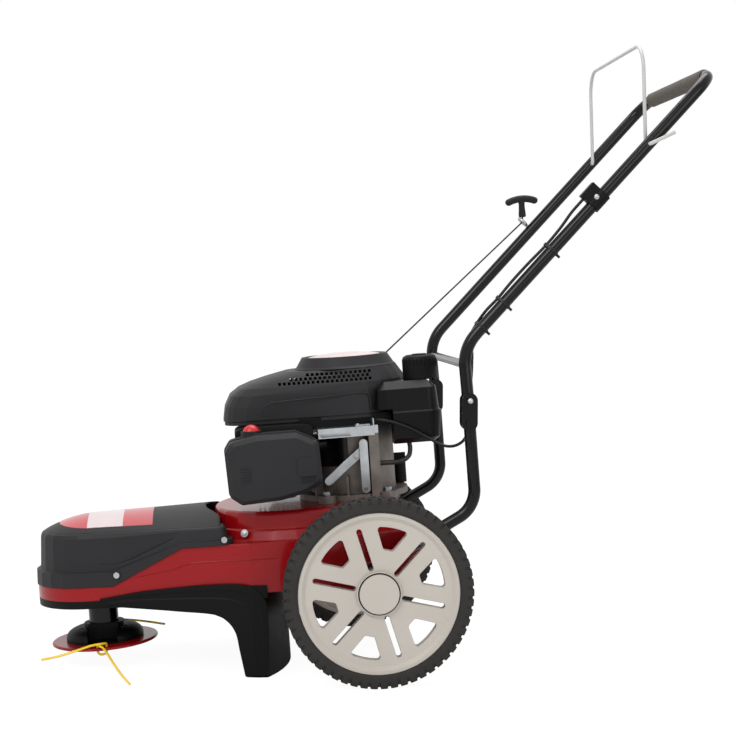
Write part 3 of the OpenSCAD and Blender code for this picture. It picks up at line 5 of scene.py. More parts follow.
import bpy
import numpy as np
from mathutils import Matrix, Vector


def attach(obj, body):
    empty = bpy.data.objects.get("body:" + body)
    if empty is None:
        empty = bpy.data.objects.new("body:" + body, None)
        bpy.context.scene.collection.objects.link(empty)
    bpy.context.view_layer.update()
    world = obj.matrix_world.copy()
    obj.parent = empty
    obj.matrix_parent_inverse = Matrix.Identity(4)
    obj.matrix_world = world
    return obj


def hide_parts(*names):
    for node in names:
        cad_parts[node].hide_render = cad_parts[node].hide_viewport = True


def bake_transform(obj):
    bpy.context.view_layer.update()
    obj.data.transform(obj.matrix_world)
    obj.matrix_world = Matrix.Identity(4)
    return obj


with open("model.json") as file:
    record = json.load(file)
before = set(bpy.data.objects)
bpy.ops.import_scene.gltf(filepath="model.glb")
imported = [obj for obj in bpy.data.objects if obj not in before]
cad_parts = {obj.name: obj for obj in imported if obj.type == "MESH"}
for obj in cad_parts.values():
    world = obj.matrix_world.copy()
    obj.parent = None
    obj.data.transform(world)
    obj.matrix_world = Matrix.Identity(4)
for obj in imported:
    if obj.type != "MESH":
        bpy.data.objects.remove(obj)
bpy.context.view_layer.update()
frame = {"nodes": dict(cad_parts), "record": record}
nodes = frame["nodes"]
scene = bpy.context.scene
scene.view_settings.view_transform = "Standard"

# Camera: it stands to the left of the machine, ahead of the axle and a little higher than the engine.
# The picture is 736 pixels square; lines across the machine meet at the vanishing point.
PICTURE = 736
FOCAL_PIXELS = 1574
VANISHING = (220, 292)
CAMERA_AT = (-0.250, -2.720, 0.631)
lens = bpy.data.cameras.new("camera")
lens.sensor_fit = "HORIZONTAL"
lens.lens = lens.sensor_width * FOCAL_PIXELS / PICTURE
camera = bpy.data.objects.new("camera", lens)
scene.collection.objects.link(camera)
camera.location = CAMERA_AT
aim_x = (PICTURE / 2 - VANISHING[0]) / FOCAL_PIXELS
aim_z = (VANISHING[1] - PICTURE / 2) / FOCAL_PIXELS
camera.rotation_euler = Vector((aim_x, 1, aim_z)).to_track_quat("-Z", "Y").to_euler()
scene.camera = camera


# Studio: a pale floor under a white surround, a broad key lamp above the nose, a fill beside the camera
# and a strip over the engine. The surround is white only for what the camera and polished metal see.
class Wire:
    """One output of a node; sums, products and comparisons of wires and numbers add Math nodes."""

    def __init__(self, finish, socket):
        self.finish = finish
        self.socket = socket

    def maths(self, operation, other):
        """A Math node of this wire and another wire or number."""
        return self.finish.add("ShaderNodeMath", {"operation": operation}, [self, other])

    def __add__(self, other):
        return self.maths("ADD", other)

    def __mul__(self, other):
        return self.maths("MULTIPLY", other)

    def __gt__(self, other):
        return self.maths("GREATER_THAN", other)

    __radd__ = __add__
    __rmul__ = __mul__


class Finish:
    """A material or world, built node by node."""

    def __init__(self, name, owner=None):
        self.owner = owner or bpy.data.materials.new(name)
        self.owner.use_nodes = True
        self.tree = self.owner.node_tree
        self.shader = self.tree.nodes.get("Principled BSDF")

    def put(self, socket, value):
        """Links a wire to a socket, or sets the socket's own value."""
        if isinstance(value, Wire):
            self.tree.links.new(value.socket, socket)
        else:
            socket.default_value = value

    def add(self, kind, settings=(), inputs=(), output=0):
        """One node: its settings, then the values or links of its sockets, by name or in their order."""
        node = self.tree.nodes.new(kind)
        for key, value in dict(settings).items():
            setattr(node, key, value)
        for key, value in inputs.items() if isinstance(inputs, dict) else enumerate(inputs):
            self.put(node.inputs[key], value)
        return Wire(self, node.outputs[output])

    def noise(self, scale, detail=2.0, stretch=(1, 1, 1)):
        """Noise over the piece's own coordinates, each axis multiplied by its stretch."""
        place = self.add("ShaderNodeTexCoord", output="Object")
        place = self.add("ShaderNodeMapping", {}, {"Vector": place, "Scale": stretch})
        return self.add("ShaderNodeTexNoise", {}, {"Vector": place, "Scale": scale, "Detail": detail})

    def blend(self, share, low, high):
        """A colour at a share of the way from low to high."""
        return self.add("ShaderNodeMix", {"data_type": "RGBA"}, {0: share, 6: low, 7: high}, 2)

    def relief(self, height, depth, round_edge):
        """A bump of the given depth over edges that catch the light as if rounded off."""
        edge = self.add("ShaderNodeBevel", {"samples": 6}, {"Radius": round_edge})
        return self.add("ShaderNodeBump", {}, {"Distance": depth, "Height": height, "Normal": edge})

    def coat(self, **sockets):
        """Links or sets the shader's sockets, named with _ for a space."""
        for key, value in sockets.items():
            self.put(self.shader.inputs[key.replace("_", " ")], value)
        return self.owner


def shade(*rgb):
    """A colour given as it looks on a screen, from 0 to 255, in the renderer's linear units: a power of each
    part, with a straight line near black."""
    part = np.array(rgb) / 255
    return (*np.where(part > 0.04045, ((part + 0.055) / 1.055) ** 2.4, part / 12.92), 1.0)


WHITE = (1, 1, 1, 1)
SURROUND = 0.62
world = scene.world or bpy.data.worlds.new("surround")
scene.world = world
sky = Finish("surround", world)
camera_ray, glossy_ray, clear_ray = (
    sky.add("ShaderNodeLightPath", output=f"Is {ray} Ray") for ray in ("Camera", "Glossy", "Transmission")
)
seen = camera_ray + glossy_ray + clear_ray > 0.5
strength = SURROUND + seen * (1 - SURROUND)
glow = sky.add("ShaderNodeBackground", {}, {"Color": WHITE, "Strength": strength})
sky.put(sky.tree.nodes["World Output"].inputs["Surface"], glow)

FLOOR_HALF = 12.0
FLOOR_SHADE = (0.86, 0.86, 0.86, 1)
FLOOR_GLOW = 0.86
FLOOR_LIGHT = 1.1
ground = bpy.data.meshes.new("floor")
corners = np.array([(-1, -1, 0), (1, -1, 0), (1, 1, 0), (-1, 1, 0)]) * FLOOR_HALF
ground.from_pydata(corners.tolist(), [], [(0, 1, 2, 3)])
floor = bpy.data.objects.new("floor", ground)
scene.collection.objects.link(floor)
pale = Finish("floor_paint")
seen = pale.add("ShaderNodeLightPath", output="Is Camera Ray")
lit = pale.add("ShaderNodeEmission", {}, {"Color": WHITE, "Strength": FLOOR_LIGHT})
pale.coat(Base_Color=FLOOR_SHADE, Roughness=0.9)
mixed = pale.add("ShaderNodeMixShader", {}, [seen * FLOOR_GLOW, Wire(pale, pale.shader.outputs[0]), lit])
pale.put(pale.tree.nodes["Material Output"].inputs["Surface"], mixed)
ground.materials.append(pale.owner)

LAMPS_AIM = Vector((-0.1, 0, 0.4))
LAMPS = {
    "key": ((-1.6, -2.2, 2.6), 1.6, 46),
    "fill": ((1.6, -3.0, 1.2), 1.8, 18),
    "strip": ((0.2, 0.4, 2.4), 1.4, 26),
}
for name, (place, side, watts) in LAMPS.items():
    lamp = bpy.data.lights.new(name, "AREA")
    lamp.size = side
    lamp.energy = watts
    holder = bpy.data.objects.new(name, lamp)
    scene.collection.objects.link(holder)
    holder.location = place
    holder.rotation_euler = (LAMPS_AIM - Vector(place)).to_track_quat("-Z", "Y").to_euler()


# Deck: pressed sheet steel in gloss red enamel, which also covers the trimmer disc. The enamel has a faint
# orange-peel surface and a clear top. A swage pressed along each side stiffens it.
def dress(piece, finish):
    """Gives a piece one material in place of those that it has."""
    piece.data.materials.clear()
    piece.data.materials.append(finish)


def spline(points, steps=6):
    """A smooth curve through points: between each pair a cubic, whose slope at a point is half the step from
    the point before it to the one after it."""
    p = np.asarray(points, float)
    p = np.vstack([p[:1], p, p[-1:]])
    a, b, c, d = (p[i : len(p) - 3 + i, None] for i in range(4))
    t = (np.arange(steps) / steps)[None, :, None]
    curve = b + t * ((c - a) + t * ((2 * a - 5 * b + 4 * c - d) + t * (3 * (b - c) + d - a))) / 2
    return np.vstack([curve.reshape(-1, p.shape[1]), p[-1:]])


def skin(name, grid, finish, body, ring=False, crease=0.6):
    """A mesh over a grid of points: rows run along it and columns round it. The end rows are capped, or in a
    ring the last row joins the first. Faces are turned outwards by the sign of the enclosed volume."""
    index = np.arange(grid.size // 3).reshape(grid.shape[:2])
    here, ahead = (index, np.roll(index, -1, axis=0)) if ring else (index[:-1], index[1:])
    quads = [here, np.roll(here, -1, axis=1), np.roll(ahead, -1, axis=1), ahead]
    quads = np.stack(quads, axis=-1).reshape(-1, 4)
    p = grid.reshape(-1, 3)
    faces = quads.tolist() + ([] if ring else [index[0, ::-1].tolist(), index[-1].tolist()])
    a, b, c, d = (p[quads[:, i]] - p.mean(0) for i in range(4))
    volume = np.einsum("ij,ij->", a, np.cross(b, c)) + np.einsum("ij,ij->", a, np.cross(c, d))
    if volume < 0:
        faces = [face[::-1] for face in faces]
    mesh = bpy.data.meshes.new(name)
    mesh.from_pydata(p.tolist(), [], faces)
    mesh.shade_smooth()
    mesh.set_sharp_from_angle(angle=crease)
    piece = bpy.data.objects.new(name, mesh)
    scene.collection.objects.link(piece)
    dress(piece, finish)
    if body:
        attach(piece, body)
    return piece


def tube(points, radius, aside, sides=12):
    """A circle carried along points: each ring lies square to the path, turned so that one radius is square
    to aside. The radius is one number, or one for each point."""
    p = np.asarray(points, float)
    t = np.gradient(p, axis=0)
    t /= np.linalg.norm(t, axis=1, keepdims=True)
    u = np.cross(aside, t)
    u /= np.linalg.norm(u, axis=1, keepdims=True)
    v = np.cross(t, u)
    turn = np.linspace(0, 2 * np.pi, sides, endpoint=False)[None, :, None]
    radius = np.broadcast_to(radius, len(p))[:, None, None]
    return p[:, None] + radius * (u[:, None] * np.cos(turn) + v[:, None] * np.sin(turn))


AXLE_HEIGHT = 152.5
DECK_PITCH = np.radians(4)


def on_deck(points):
    """Millimetres in the frame of the deck, which dips towards the nose about the axle, as metres in the
    frame: x and z are turned by the pitch and lifted to the axle."""
    x, y, z = np.moveaxis(np.asarray(points, float), -1, 0)
    c, s = np.cos(DECK_PITCH), np.sin(DECK_PITCH)
    return np.stack([x * c - z * s, y, x * s + z * c + AXLE_HEIGHT], axis=-1) / 1000


def deck_way(direction):
    """A direction in the frame of the deck, turned into the frame: the difference of two places on it."""
    return on_deck(direction) - on_deck((0, 0, 0))


def bead(name, path, radius, finish, taper=5):
    """A round bead along a path on the deck. Its radius is drawn in over the last points at each end, taper
    in number, as the square root of the way in, though never to nothing."""
    point = np.arange(len(path))
    ends = np.sqrt(np.clip(np.minimum(point, point[::-1]) / taper, 0.02, 1))
    skin(name, on_deck(tube(path, radius * ends, (0, 1, 0), 10)), finish, "chassis")


SIDES = ((-1, "left"), (1, "right"))
DECK_SIDE = ((-456, -200, 112), (105, 161, 164))
SWAGE = [(-402, 34), (-330, 46), (-300, 54), (-262, 56), (-190, 56), (-150, 55)]
SWAGE_RADIUS = 1.3
SWAGE_SUNK = 0.5
enamel = Finish("red_enamel")
enamel.coat(
    Base_Color=enamel.blend(enamel.noise(9), shade(150, 8, 16), shade(134, 5, 12)),
    Roughness=0.26,
    Coat_Weight=0.2,
    Coat_Roughness=0.06,
    Specular_IOR_Level=0.16,
    Normal=enamel.relief(enamel.noise(260, 1), depth=0.00003, round_edge=0.004),
)
for name in ("deck", "trimmer_disc"):
    dress(nodes[name], enamel.owner)
for side, word in SIDES:
    x, z = spline(SWAGE).T
    ridge = np.stack([x, side * (np.interp(x, *DECK_SIDE) - SWAGE_SUNK), z], axis=-1)
    bead(f"{word}_swage", ridge, SWAGE_RADIUS, enamel.owner)


# Screws: zinc-plated hexagon heads on a pressed washer, which join the deck and its cover on each side, and
# round heads in the lobes of the trimmer's hub.
def turned(name, profile, at, way, finish, body, sides=36, flats=0, ring=False):
    """A profile of radius and height, in millimetres, carried round the line from at along way. Over the
    first flats rows the radius follows a hexagon: the flat's distance over the cosine of the angle from its
    middle."""
    r, h = np.array(profile, float).T[:, :, None]
    way = np.array(way, float) / np.linalg.norm(way)
    off_axis = (0.31, 0.87, 0.38)
    u = np.cross(way, off_axis)
    u /= np.linalg.norm(u)
    v = np.cross(way, u)
    angle = np.linspace(0, 2 * np.pi, sides, endpoint=False)[None, :]
    hexagon = np.cos(np.pi / 6) / np.cos(angle % (np.pi / 3) - np.pi / 6)
    r = np.where(np.arange(len(profile))[:, None] < flats, r * hexagon, r)
    spread = u * np.cos(angle)[..., None] + v * np.sin(angle)[..., None]
    grid = np.asarray(at, float) + (r[..., None] * spread + way * h[..., None]) / 1000
    return skin(name, grid, finish, body, ring)


def metal(name, low, high, rough, scale, stretch=(1, 1, 1), depth=0.00004):
    """Bare metal between two shades, with roughness and relief from one noise."""
    finish = Finish(name)
    grain = finish.noise(scale, 3, stretch)
    return finish.coat(
        Base_Color=finish.blend(finish.noise(35, 3), low, high),
        Metallic=1.0,
        Roughness=rough + grain * 0.2,
        Normal=finish.relief(grain, depth, round_edge=0.0006),
    )


HEX_HEAD = [(3.2, 4.6), (4.4, 4.2), (4.6, 3.6), (4.6, 1.2), (6.4, 1.1), (6.6, 0.6), (6.6, -1)]
HEX_ROWS = 4
DECK_SCREW = np.array((-205, 132.5, 96))
DECK_SCREW_WAY = np.array((-0.45, 1, 0.25))
HEAD = np.array((-456, 0, -83))
LOBE_HEAD = [(2.4, 3.4), (3.4, 2.8), (3.6, 2), (3.6, -0.5)]
LOBE_TURNS = np.radians([35, -35, 215, 145])
LOBE_OUT = 44
LOBE_UP = 17
zinc = metal("zinc_plate", shade(132, 136, 139), shade(206, 209, 212), 0.22, 160)
for side, word in SIDES:
    place = on_deck(DECK_SCREW * (1, side, 1))
    way = deck_way(DECK_SCREW_WAY * (1, side, 1))
    turned(f"{word}_deck_screw", HEX_HEAD, place, way, zinc, "chassis", flats=HEX_ROWS)
for i, turn in enumerate(LOBE_TURNS):
    place = on_deck(HEAD + (LOBE_OUT * np.cos(turn), LOBE_OUT * np.sin(turn), LOBE_UP))
    turned(f"lobe_screw_{i}", LOBE_HEAD, place, deck_way((0, 0, 1)), zinc, "head")


# Covers: black polypropylene mouldings with a fine spark-eroded grain, on the belt, the guard, the engine,
# the filter and the controls. The fuel tank is blown in a glossier black.
def moulding(name, low, high, rough, grain_depth, gleam=0.2):
    """Black plastic between two shades, with fine grain for roughness and bump."""
    finish = Finish(name)
    grain = finish.noise(1400, 1)
    return finish.coat(
        Base_Color=finish.blend(finish.noise(14), low, high),
        Roughness=rough + grain * 0.12,
        Specular_IOR_Level=gleam,
        Normal=finish.relief(grain, grain_depth, round_edge=0.0016),
    )


satin_black = moulding("satin_black_moulding", shade(32, 32, 34), shade(39, 39, 41), 0.44, 0.00008)
deep_black = moulding("deep_black_moulding", shade(9, 9, 9), shade(13, 13, 13), 0.42, 0.00006, 0.12)
gloss_black = moulding("tank_moulding", shade(6, 6, 7), shade(9, 9, 10), 0.2, 0.00003, 0.14)
# The backing plate in this list is dressed black as painted shade, for the dark band below the shroud's edge.
SATIN_COVERS_AND_SHADE_PLATE = (
    "belt_cover", "blower_shroud", "recoil_cover", "air_filter_cover", "air_filter_base", "backing_plate",
)
DEEP_COVERS = ("debris_guard", "trimmer_hub", "cable_clamp", "oil_cap", "fuel_cap")
for name in SATIN_COVERS_AND_SHADE_PLATE:
    dress(nodes[name], satin_black)
for name in DEEP_COVERS:
    dress(nodes[name], deep_black)
dress(nodes["fuel_tank"], gloss_black)

# Belt cover's wall and roof: the moulded roof is crowned and wraps the engine's pad at the rear, a step is
# moulded along each side, and a bare red vinyl panel with a pale band is stuck on over the pulley.
COVER_SIDE = ((-458, -246), (107, 156))
COVER_RIM = ((-561, -428, -310, -226), (23, 23, 81, 83))
COVER_SHARES = (0, 0.26, 0.3, 0.9, 0.97, 1)
COVER_INSETS = (0, 1, 8, 12, 15, 20)
COVER_EDGE = 111
COVER_CROWN = 21
COVER_INSET = 20
NOSE_X = -456
SHEET_THICK = 1.4
SHEET_ROWS = 60
SHEET_COLUMNS = 41


def sheet(name, x, y, rise, finish):
    """A thin sheet on the crowned roof over a grid of places. Each place's share of the way from the spine to
    the wall's top edge, a circle at the nose that widens behind it, gives its height: the crown less the
    crown times the share squared."""
    wall = np.interp(np.maximum(x, NOSE_X), *COVER_SIDE) - COVER_INSET
    share = np.hypot(np.minimum(x - NOSE_X, 0), y) / wall
    high = COVER_EDGE + COVER_CROWN * (1 - share**2)
    top = np.stack([x, y, high + rise], axis=-1)
    low = np.stack([x, y, high - SHEET_THICK], axis=-1)
    return skin(name, on_deck(np.concatenate([top, low[:, ::-1]], axis=1)), finish, "chassis")


def plan(front, rear, share, nose):
    """Places from front to rear across a share of the roof's width, narrowed to an ellipse ahead of the
    spindle."""
    x = np.linspace(front, rear, SHEET_ROWS)[:, None]
    wide = share * (np.interp(np.maximum(x, NOSE_X), *COVER_SIDE) - COVER_INSET)
    wide = wide * np.sqrt(np.clip(1 - (np.minimum(x - NOSE_X, 0) / nose) ** 2, 0.0004, 1))
    y = wide * np.linspace(-1, 1, SHEET_COLUMNS)[None, :]
    return np.broadcast_to(x, y.shape), y


def vinyl(name, low, high):
    """Glossy film between two shades."""
    film = Finish(name)
    return film.coat(
        Base_Color=film.blend(film.noise(22), low, high),
        Roughness=0.3,
        Coat_Weight=0.4,
        Normal=film.relief(film.noise(500), depth=0.00003, round_edge=0.0005),
    )


ROOF_FRONT = NOSE_X - 86.9
ROOF_REAR = -246
ROOF_SHARE = 0.995
ROOF_NOSE = 87
ROOF_RISE = 0.1
PAD_MIDDLE = -120
PAD_ROUND = 150
x, y = plan(ROOF_FRONT, ROOF_REAR, ROOF_SHARE, ROOF_NOSE)
back = np.minimum(PAD_MIDDLE - np.sqrt(PAD_ROUND**2 - y**2), ROOF_REAR)
x = x + np.linspace(0, 1, SHEET_ROWS)[:, None] ** 2 * (back - ROOF_REAR)
sheet("cover_roof", x, y, ROOF_RISE, satin_black)
COVER_STEP = [(-452, 62), (-425, 61), (-400, 66), (-370, 78), (-340, 91), (-318, 100)]
STEP_RADIUS = 1.6
STEP_SUNK = 0.6
for side, word in SIDES:
    x, z = spline(COVER_STEP).T
    low = np.interp(x, *COVER_RIM)
    inset = np.interp((z - low) / (COVER_EDGE - low), COVER_SHARES, COVER_INSETS)
    step = np.stack([x, side * (np.interp(x, *COVER_SIDE) - inset - STEP_SUNK), z], axis=-1)
    bead(f"{word}_cover_step", step, STEP_RADIUS, satin_black)
PANEL_NOSE = 62
PANEL_REAR = -356
PANEL_SHARE = 0.84
PANEL_RISE = 0.5
BAND_FROM = -466
BAND_TO = -406
BAND_RISE = PANEL_RISE + 0.3
red_vinyl = vinyl("red_vinyl", shade(176, 44, 54), shade(188, 58, 66))
pale_vinyl = vinyl("pale_vinyl", shade(202, 184, 187), shade(216, 200, 202))
x, y = plan(NOSE_X - PANEL_NOSE, PANEL_REAR, PANEL_SHARE, PANEL_NOSE)
sheet("cover_panel", x, y, PANEL_RISE, red_vinyl)
x, y = plan(BAND_FROM, BAND_TO, PANEL_SHARE, PANEL_NOSE)
sheet("cover_band", x, y, BAND_RISE, pale_vinyl)

# Guard cheeks: the outer skin of the moulded debris guard on each side, which runs from its flange along the
# deck down into the leg, with a ledge moulded along its upper edge.
CHEEK_TOP = [
    (-450, 2), (-380, 12.5), (-279, 18.5), (-218, 17), (-192, 7), (-179, -14), (-177, -45), (-179, -90),
    (-184, -136),
]
CHEEK_LOW = [(-432, -8), (-330, -22), (-268, -30), (-246, -41), (-232, -62), (-227, -94), (-221, -135)]
CHEEK_OUT = 4.5
CHEEK_THICK = 3
CHEEK_ROWS = 120
CHEEK_COLUMNS = 61
LEDGES = ((0.0, 0.2, 0.24, 0.46, 0.5, 0.9, 1.0), (1.0, 1.3, 0.3, 0.3, 1.5, 1.6, 0.6))


def even(points, count):
    """Places at equal steps along a smooth curve through points, found from the sum of its short steps."""
    curve = spline(points, 12)
    run = np.append(0, np.cumsum(np.linalg.norm(np.diff(curve, axis=0), axis=1)))
    return np.stack([np.interp(np.linspace(0, run[-1], count), run, axis) for axis in curve.T], axis=-1)


across = np.linspace(0, 1, CHEEK_COLUMNS)
down = across[:, None]
cheek = even(CHEEK_TOP, CHEEK_ROWS)[:, None] * (1 - down) + even(CHEEK_LOW, CHEEK_ROWS)[:, None] * down
out = np.interp(cheek[..., 0], *DECK_SIDE) + CHEEK_OUT
for side, word in SIDES:
    outer = np.stack([cheek[..., 0], side * (out + np.interp(across, *LEDGES)), cheek[..., 1]], axis=-1)
    inner = np.stack([cheek[..., 0], side * (out - CHEEK_THICK), cheek[..., 1]], axis=-1)
    grid = on_deck(np.concatenate([outer, inner[:, ::-1]], axis=1))
    skin(f"{word}_guard_cheek", grid, deep_black, "chassis")


# Painted and bare metal: the handle's tubes, its fold plates, the spindle housing and the muffler guard have
# gloss black enamel. Shafts and pulleys are turned steel, engine pieces are die-cast and brackets are
# zinc-plated.
def dress_slot(slot, finish):
    """Gives one material to every node that has the slot in the record."""
    for node in frame["record"]["subparts"]:
        if node["material_slot"] == slot:
            dress(nodes[node["node"]], finish)


tube_enamel = Finish("black_enamel")
tube_enamel.coat(
    Base_Color=tube_enamel.blend(tube_enamel.noise(12), shade(6, 6, 6), shade(10, 10, 10)),
    Roughness=0.18,
    Coat_Weight=0.1,
    Coat_Roughness=0.06,
    Specular_IOR_Level=0.2,
    Normal=tube_enamel.relief(tube_enamel.noise(300, 1), depth=0.00002, round_edge=0.001),
)
steel = metal("turned_steel", shade(150, 150, 152), shade(172, 172, 174), 0.25, 500, (1, 1, 0.1))
cast = metal("die_casting", shade(84, 79, 75), shade(138, 131, 125), 0.44, 700, depth=0.0001)
dress_slot("black_paint", tube_enamel.owner)
dress_slot("zinc", zinc)
dress_slot("steel", steel)
dress_slot("casting", cast)


# Engine mouldings: a black intake duct stands behind the filter under the shroud, and a moulded seam bounds
# the panel on each side of the shroud.
ENGINE_AT = (-10, 0, 129)


def on_engine(points):
    """Millimetres from the crankshaft, above the platform that the engine stands on, as metres in the frame:
    the engine's place on the deck is added."""
    return on_deck(np.asarray(points, float) + ENGINE_AT)


DUCT_MIDDLE = (-134, 117.5)
DUCT_HALF = np.array((65, 22))
DUCT_FROM = -119
DUCT_ROWS = np.array([(0, 2.4), (0.7, 0.7), (2.4, 0), (69, 0)])
DUCT_SQUARENESS = 0.3
SHROUD_HALF = 104.6
SEAM_RADIUS = 1.2
SEAM = [
    (-150, 153), (-149, 166), (-140, 174), (-120, 177), (-40, 180), (18, 182), (28, 179), (31, 168),
    (31, 150),
]
angle = np.linspace(0, 2 * np.pi, 72, endpoint=False)
oblong = np.stack([np.cos(angle), np.sin(angle)], axis=-1)
oblong = np.sign(oblong) * np.abs(oblong) ** DUCT_SQUARENESS
outline = DUCT_MIDDLE + oblong[None] * (DUCT_HALF - DUCT_ROWS[:, 1:, None])
deep = np.broadcast_to(DUCT_FROM + DUCT_ROWS[:, :1], outline.shape[:2])
duct = np.stack([outline[..., 0], deep, outline[..., 1]], axis=-1)
skin("intake_duct", on_engine(duct), deep_black, "chassis")
for side, word in SIDES:
    x, z = spline(SEAM).T
    seam = np.stack([x, np.full_like(x, side * SHROUD_HALF), z], axis=-1) + ENGINE_AT
    bead(f"{word}_shroud_seam", seam, SEAM_RADIUS, satin_black)

# Badge: a bare, slightly domed disc of pale anodised sheet. It is stamped out and pressed into the sunk top
# of the recoil cover.
BADGE_AT = (-10, 0, 370.5)
BADGE = [(0.5, 6.3), (14, 6.1), (28, 5.3), (40, 4.2), (50, 2.9), (56, 1.9), (60, 1.1), (62, 0.6), (63, -0.6)]
badge_tin = metal("anodised_badge", shade(206, 190, 190), shade(218, 204, 203), 0.34, 420, (1, 1, 0.2))
turned("recoil_badge", BADGE, on_deck(BADGE_AT), deck_way((0, 0, 1)), badge_tin, "chassis", 96)

# Throttle linkage: a zinc arm with an eye is held by a nut on a boss of the crankcase, a bent rod links the
# bracket to the filter housing, and a fine coil spring lies along the bracket.
ARM_FOOT = np.array((-47, 37))
ARM_HEAD = np.array((14, 86))
ARM_HALF = 7.5
ARM_THICK = 2.5
ARM_EDGE = 0.6
ARM_Y = -92
ARM_EYE_SHARE = 0.78
ARM_EYE = ARM_FOOT + ARM_EYE_SHARE * (ARM_HEAD - ARM_FOOT)
BOSS_Y = -70
BOSS = [(7, 0), (7, 21), (6, 22)]
NUT = [(3, 27.1), (5.2, 26.8), (5.4, 26.2), (5.4, 24.4)]
angle = np.linspace(0, 2 * np.pi, 64, endpoint=False)
normal = np.stack([np.cos(angle), np.sin(angle)], axis=-1)
ahead = (normal @ (ARM_HEAD - ARM_FOOT) > 0)[:, None]
rim = np.where(ahead, ARM_HEAD, ARM_FOOT) + ARM_HALF * normal
rows = np.array([(ARM_EDGE, 0), (0, ARM_EDGE), (0, ARM_THICK - ARM_EDGE), (ARM_EDGE, ARM_THICK)])
flat = rim[None] - rows[:, :1, None] * normal[None]
deep = ARM_Y - np.broadcast_to(rows[:, 1:], flat.shape[:2])
arm = np.stack([flat[..., 0], deep, flat[..., 1]], axis=-1)
skin("governor_arm", on_engine(arm), zinc, "chassis")
eye = on_engine((ARM_EYE[0], BOSS_Y, ARM_EYE[1]))
turned("arm_boss", BOSS, eye, (0, -1, 0), cast, "chassis")
turned("arm_nut", NUT, eye, (0, -1, 0), steel, "chassis", flats=HEX_ROWS)
ROD = [(-58, -112, 120), (-70, -114, 121), (-84, -118, 119), (-96, -124, 114)]
ROD_RADIUS = 0.0014
skin("throttle_rod", tube(on_engine(spline(ROD)), ROD_RADIUS, (0, 0, 1)), zinc, "chassis")
SPRING_FROM = np.array((-58, -131.5, 117))
SPRING_TO = np.array((-8, -131.5, 117))
COILS = 22
COIL_STEPS = 14
COIL_RADIUS = 2.4
COIL_WIRE = 0.6
turn = np.linspace(0, 1, COILS * COIL_STEPS + 1)[:, None]
swing = 2 * np.pi * COILS * turn
coil = SPRING_FROM + (SPRING_TO - SPRING_FROM) * turn
coil = coil + COIL_RADIUS * (np.cos(swing) * (0, 1, 0) + np.sin(swing) * (0, 0, 1))
skin("throttle_spring", on_engine(tube(coil, COIL_WIRE, (1, 0, 0), 8)), zinc, "chassis")

# Shields: an enamelled black sheet is bent round the side of the crankcase under the bracket, and a flat
# black plate hangs from the shroud behind it as painted shade, for the dark band under the shroud's edge.
CORNERS = np.array([(0, 0), (1, 0), (1, 1), (0, 1)])
SHIELD_RADIUS = 74.4
SHIELD_THICK = 1.6
SHIELD_LOW = 58
SHIELD_HIGH = 111
SHIELD_STEPS = 40
SHIELD_FROM, SHIELD_TO = np.radians((-172, -98))
# The plate under the shroud's edge is painted shade: a flat black sheet where the band there lies in shadow.
SHADE_PLATE_LOW = np.array((-90, -97.5, 126))
SHADE_PLATE_HIGH = np.array((62, -96, 146.5))
angle = np.linspace(SHIELD_FROM, SHIELD_TO, SHIELD_STEPS)[:, None]
radius = SHIELD_RADIUS + SHIELD_THICK * CORNERS[None, :, 0]
height = SHIELD_LOW + (SHIELD_HIGH - SHIELD_LOW) * np.broadcast_to(CORNERS[None, :, 1], (SHIELD_STEPS, 4))
shield = np.stack([radius * np.cos(angle), radius * np.sin(angle), height], axis=-1)
skin("heat_shield", on_engine(shield), tube_enamel.owner, "chassis")
shade_plate = np.stack([np.insert(CORNERS, 1, out, axis=1) for out in (0, 1)])
shade_plate = SHADE_PLATE_LOW + shade_plate * (SHADE_PLATE_HIGH - SHADE_PLATE_LOW)
skin("shroud_shade_plate", on_engine(shade_plate), deep_black, "chassis")


HOSE_RADIUS = 0.004
HOSE_ROUTE = [
    (92, -96, 92.5), (93, -96, 82), (90, -97, 70), (80, -97, 63), (66, -92, 60), (52, -88, 60),
    (41.3, -87, 60),
]
hose_rubber = Finish("hose_rubber")
hose_rubber.coat(
    Base_Color=hose_rubber.blend(hose_rubber.noise(70), shade(18, 18, 18), shade(34, 33, 32)),
    Roughness=0.55,
    Normal=hose_rubber.relief(hose_rubber.noise(1200), depth=0.00005, round_edge=0.0004),
)
route = on_engine(spline(HOSE_ROUTE))
hose = skin("fuel_line", tube(route, HOSE_RADIUS, (0, 1, 0)), hose_rubber.owner, "chassis")
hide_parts("fuel_hose")
for name in ("drive_belt", "plug_boot"):
    dress(nodes[name], hose_rubber.owner)

# Primer: a soft red bulb of moulded rubber, held by its rim in the top of the filter housing. It is pressed
# in with a thumb.
primer_red = Finish("primer_rubber")
primer_red.coat(
    Base_Color=primer_red.blend(primer_red.noise(60), shade(206, 22, 28), shade(184, 13, 20)),
    Roughness=0.38,
    Normal=primer_red.relief(primer_red.noise(500), depth=0.00005, round_edge=0.001),
)
dress(nodes["primer_bulb"], primer_red.owner)

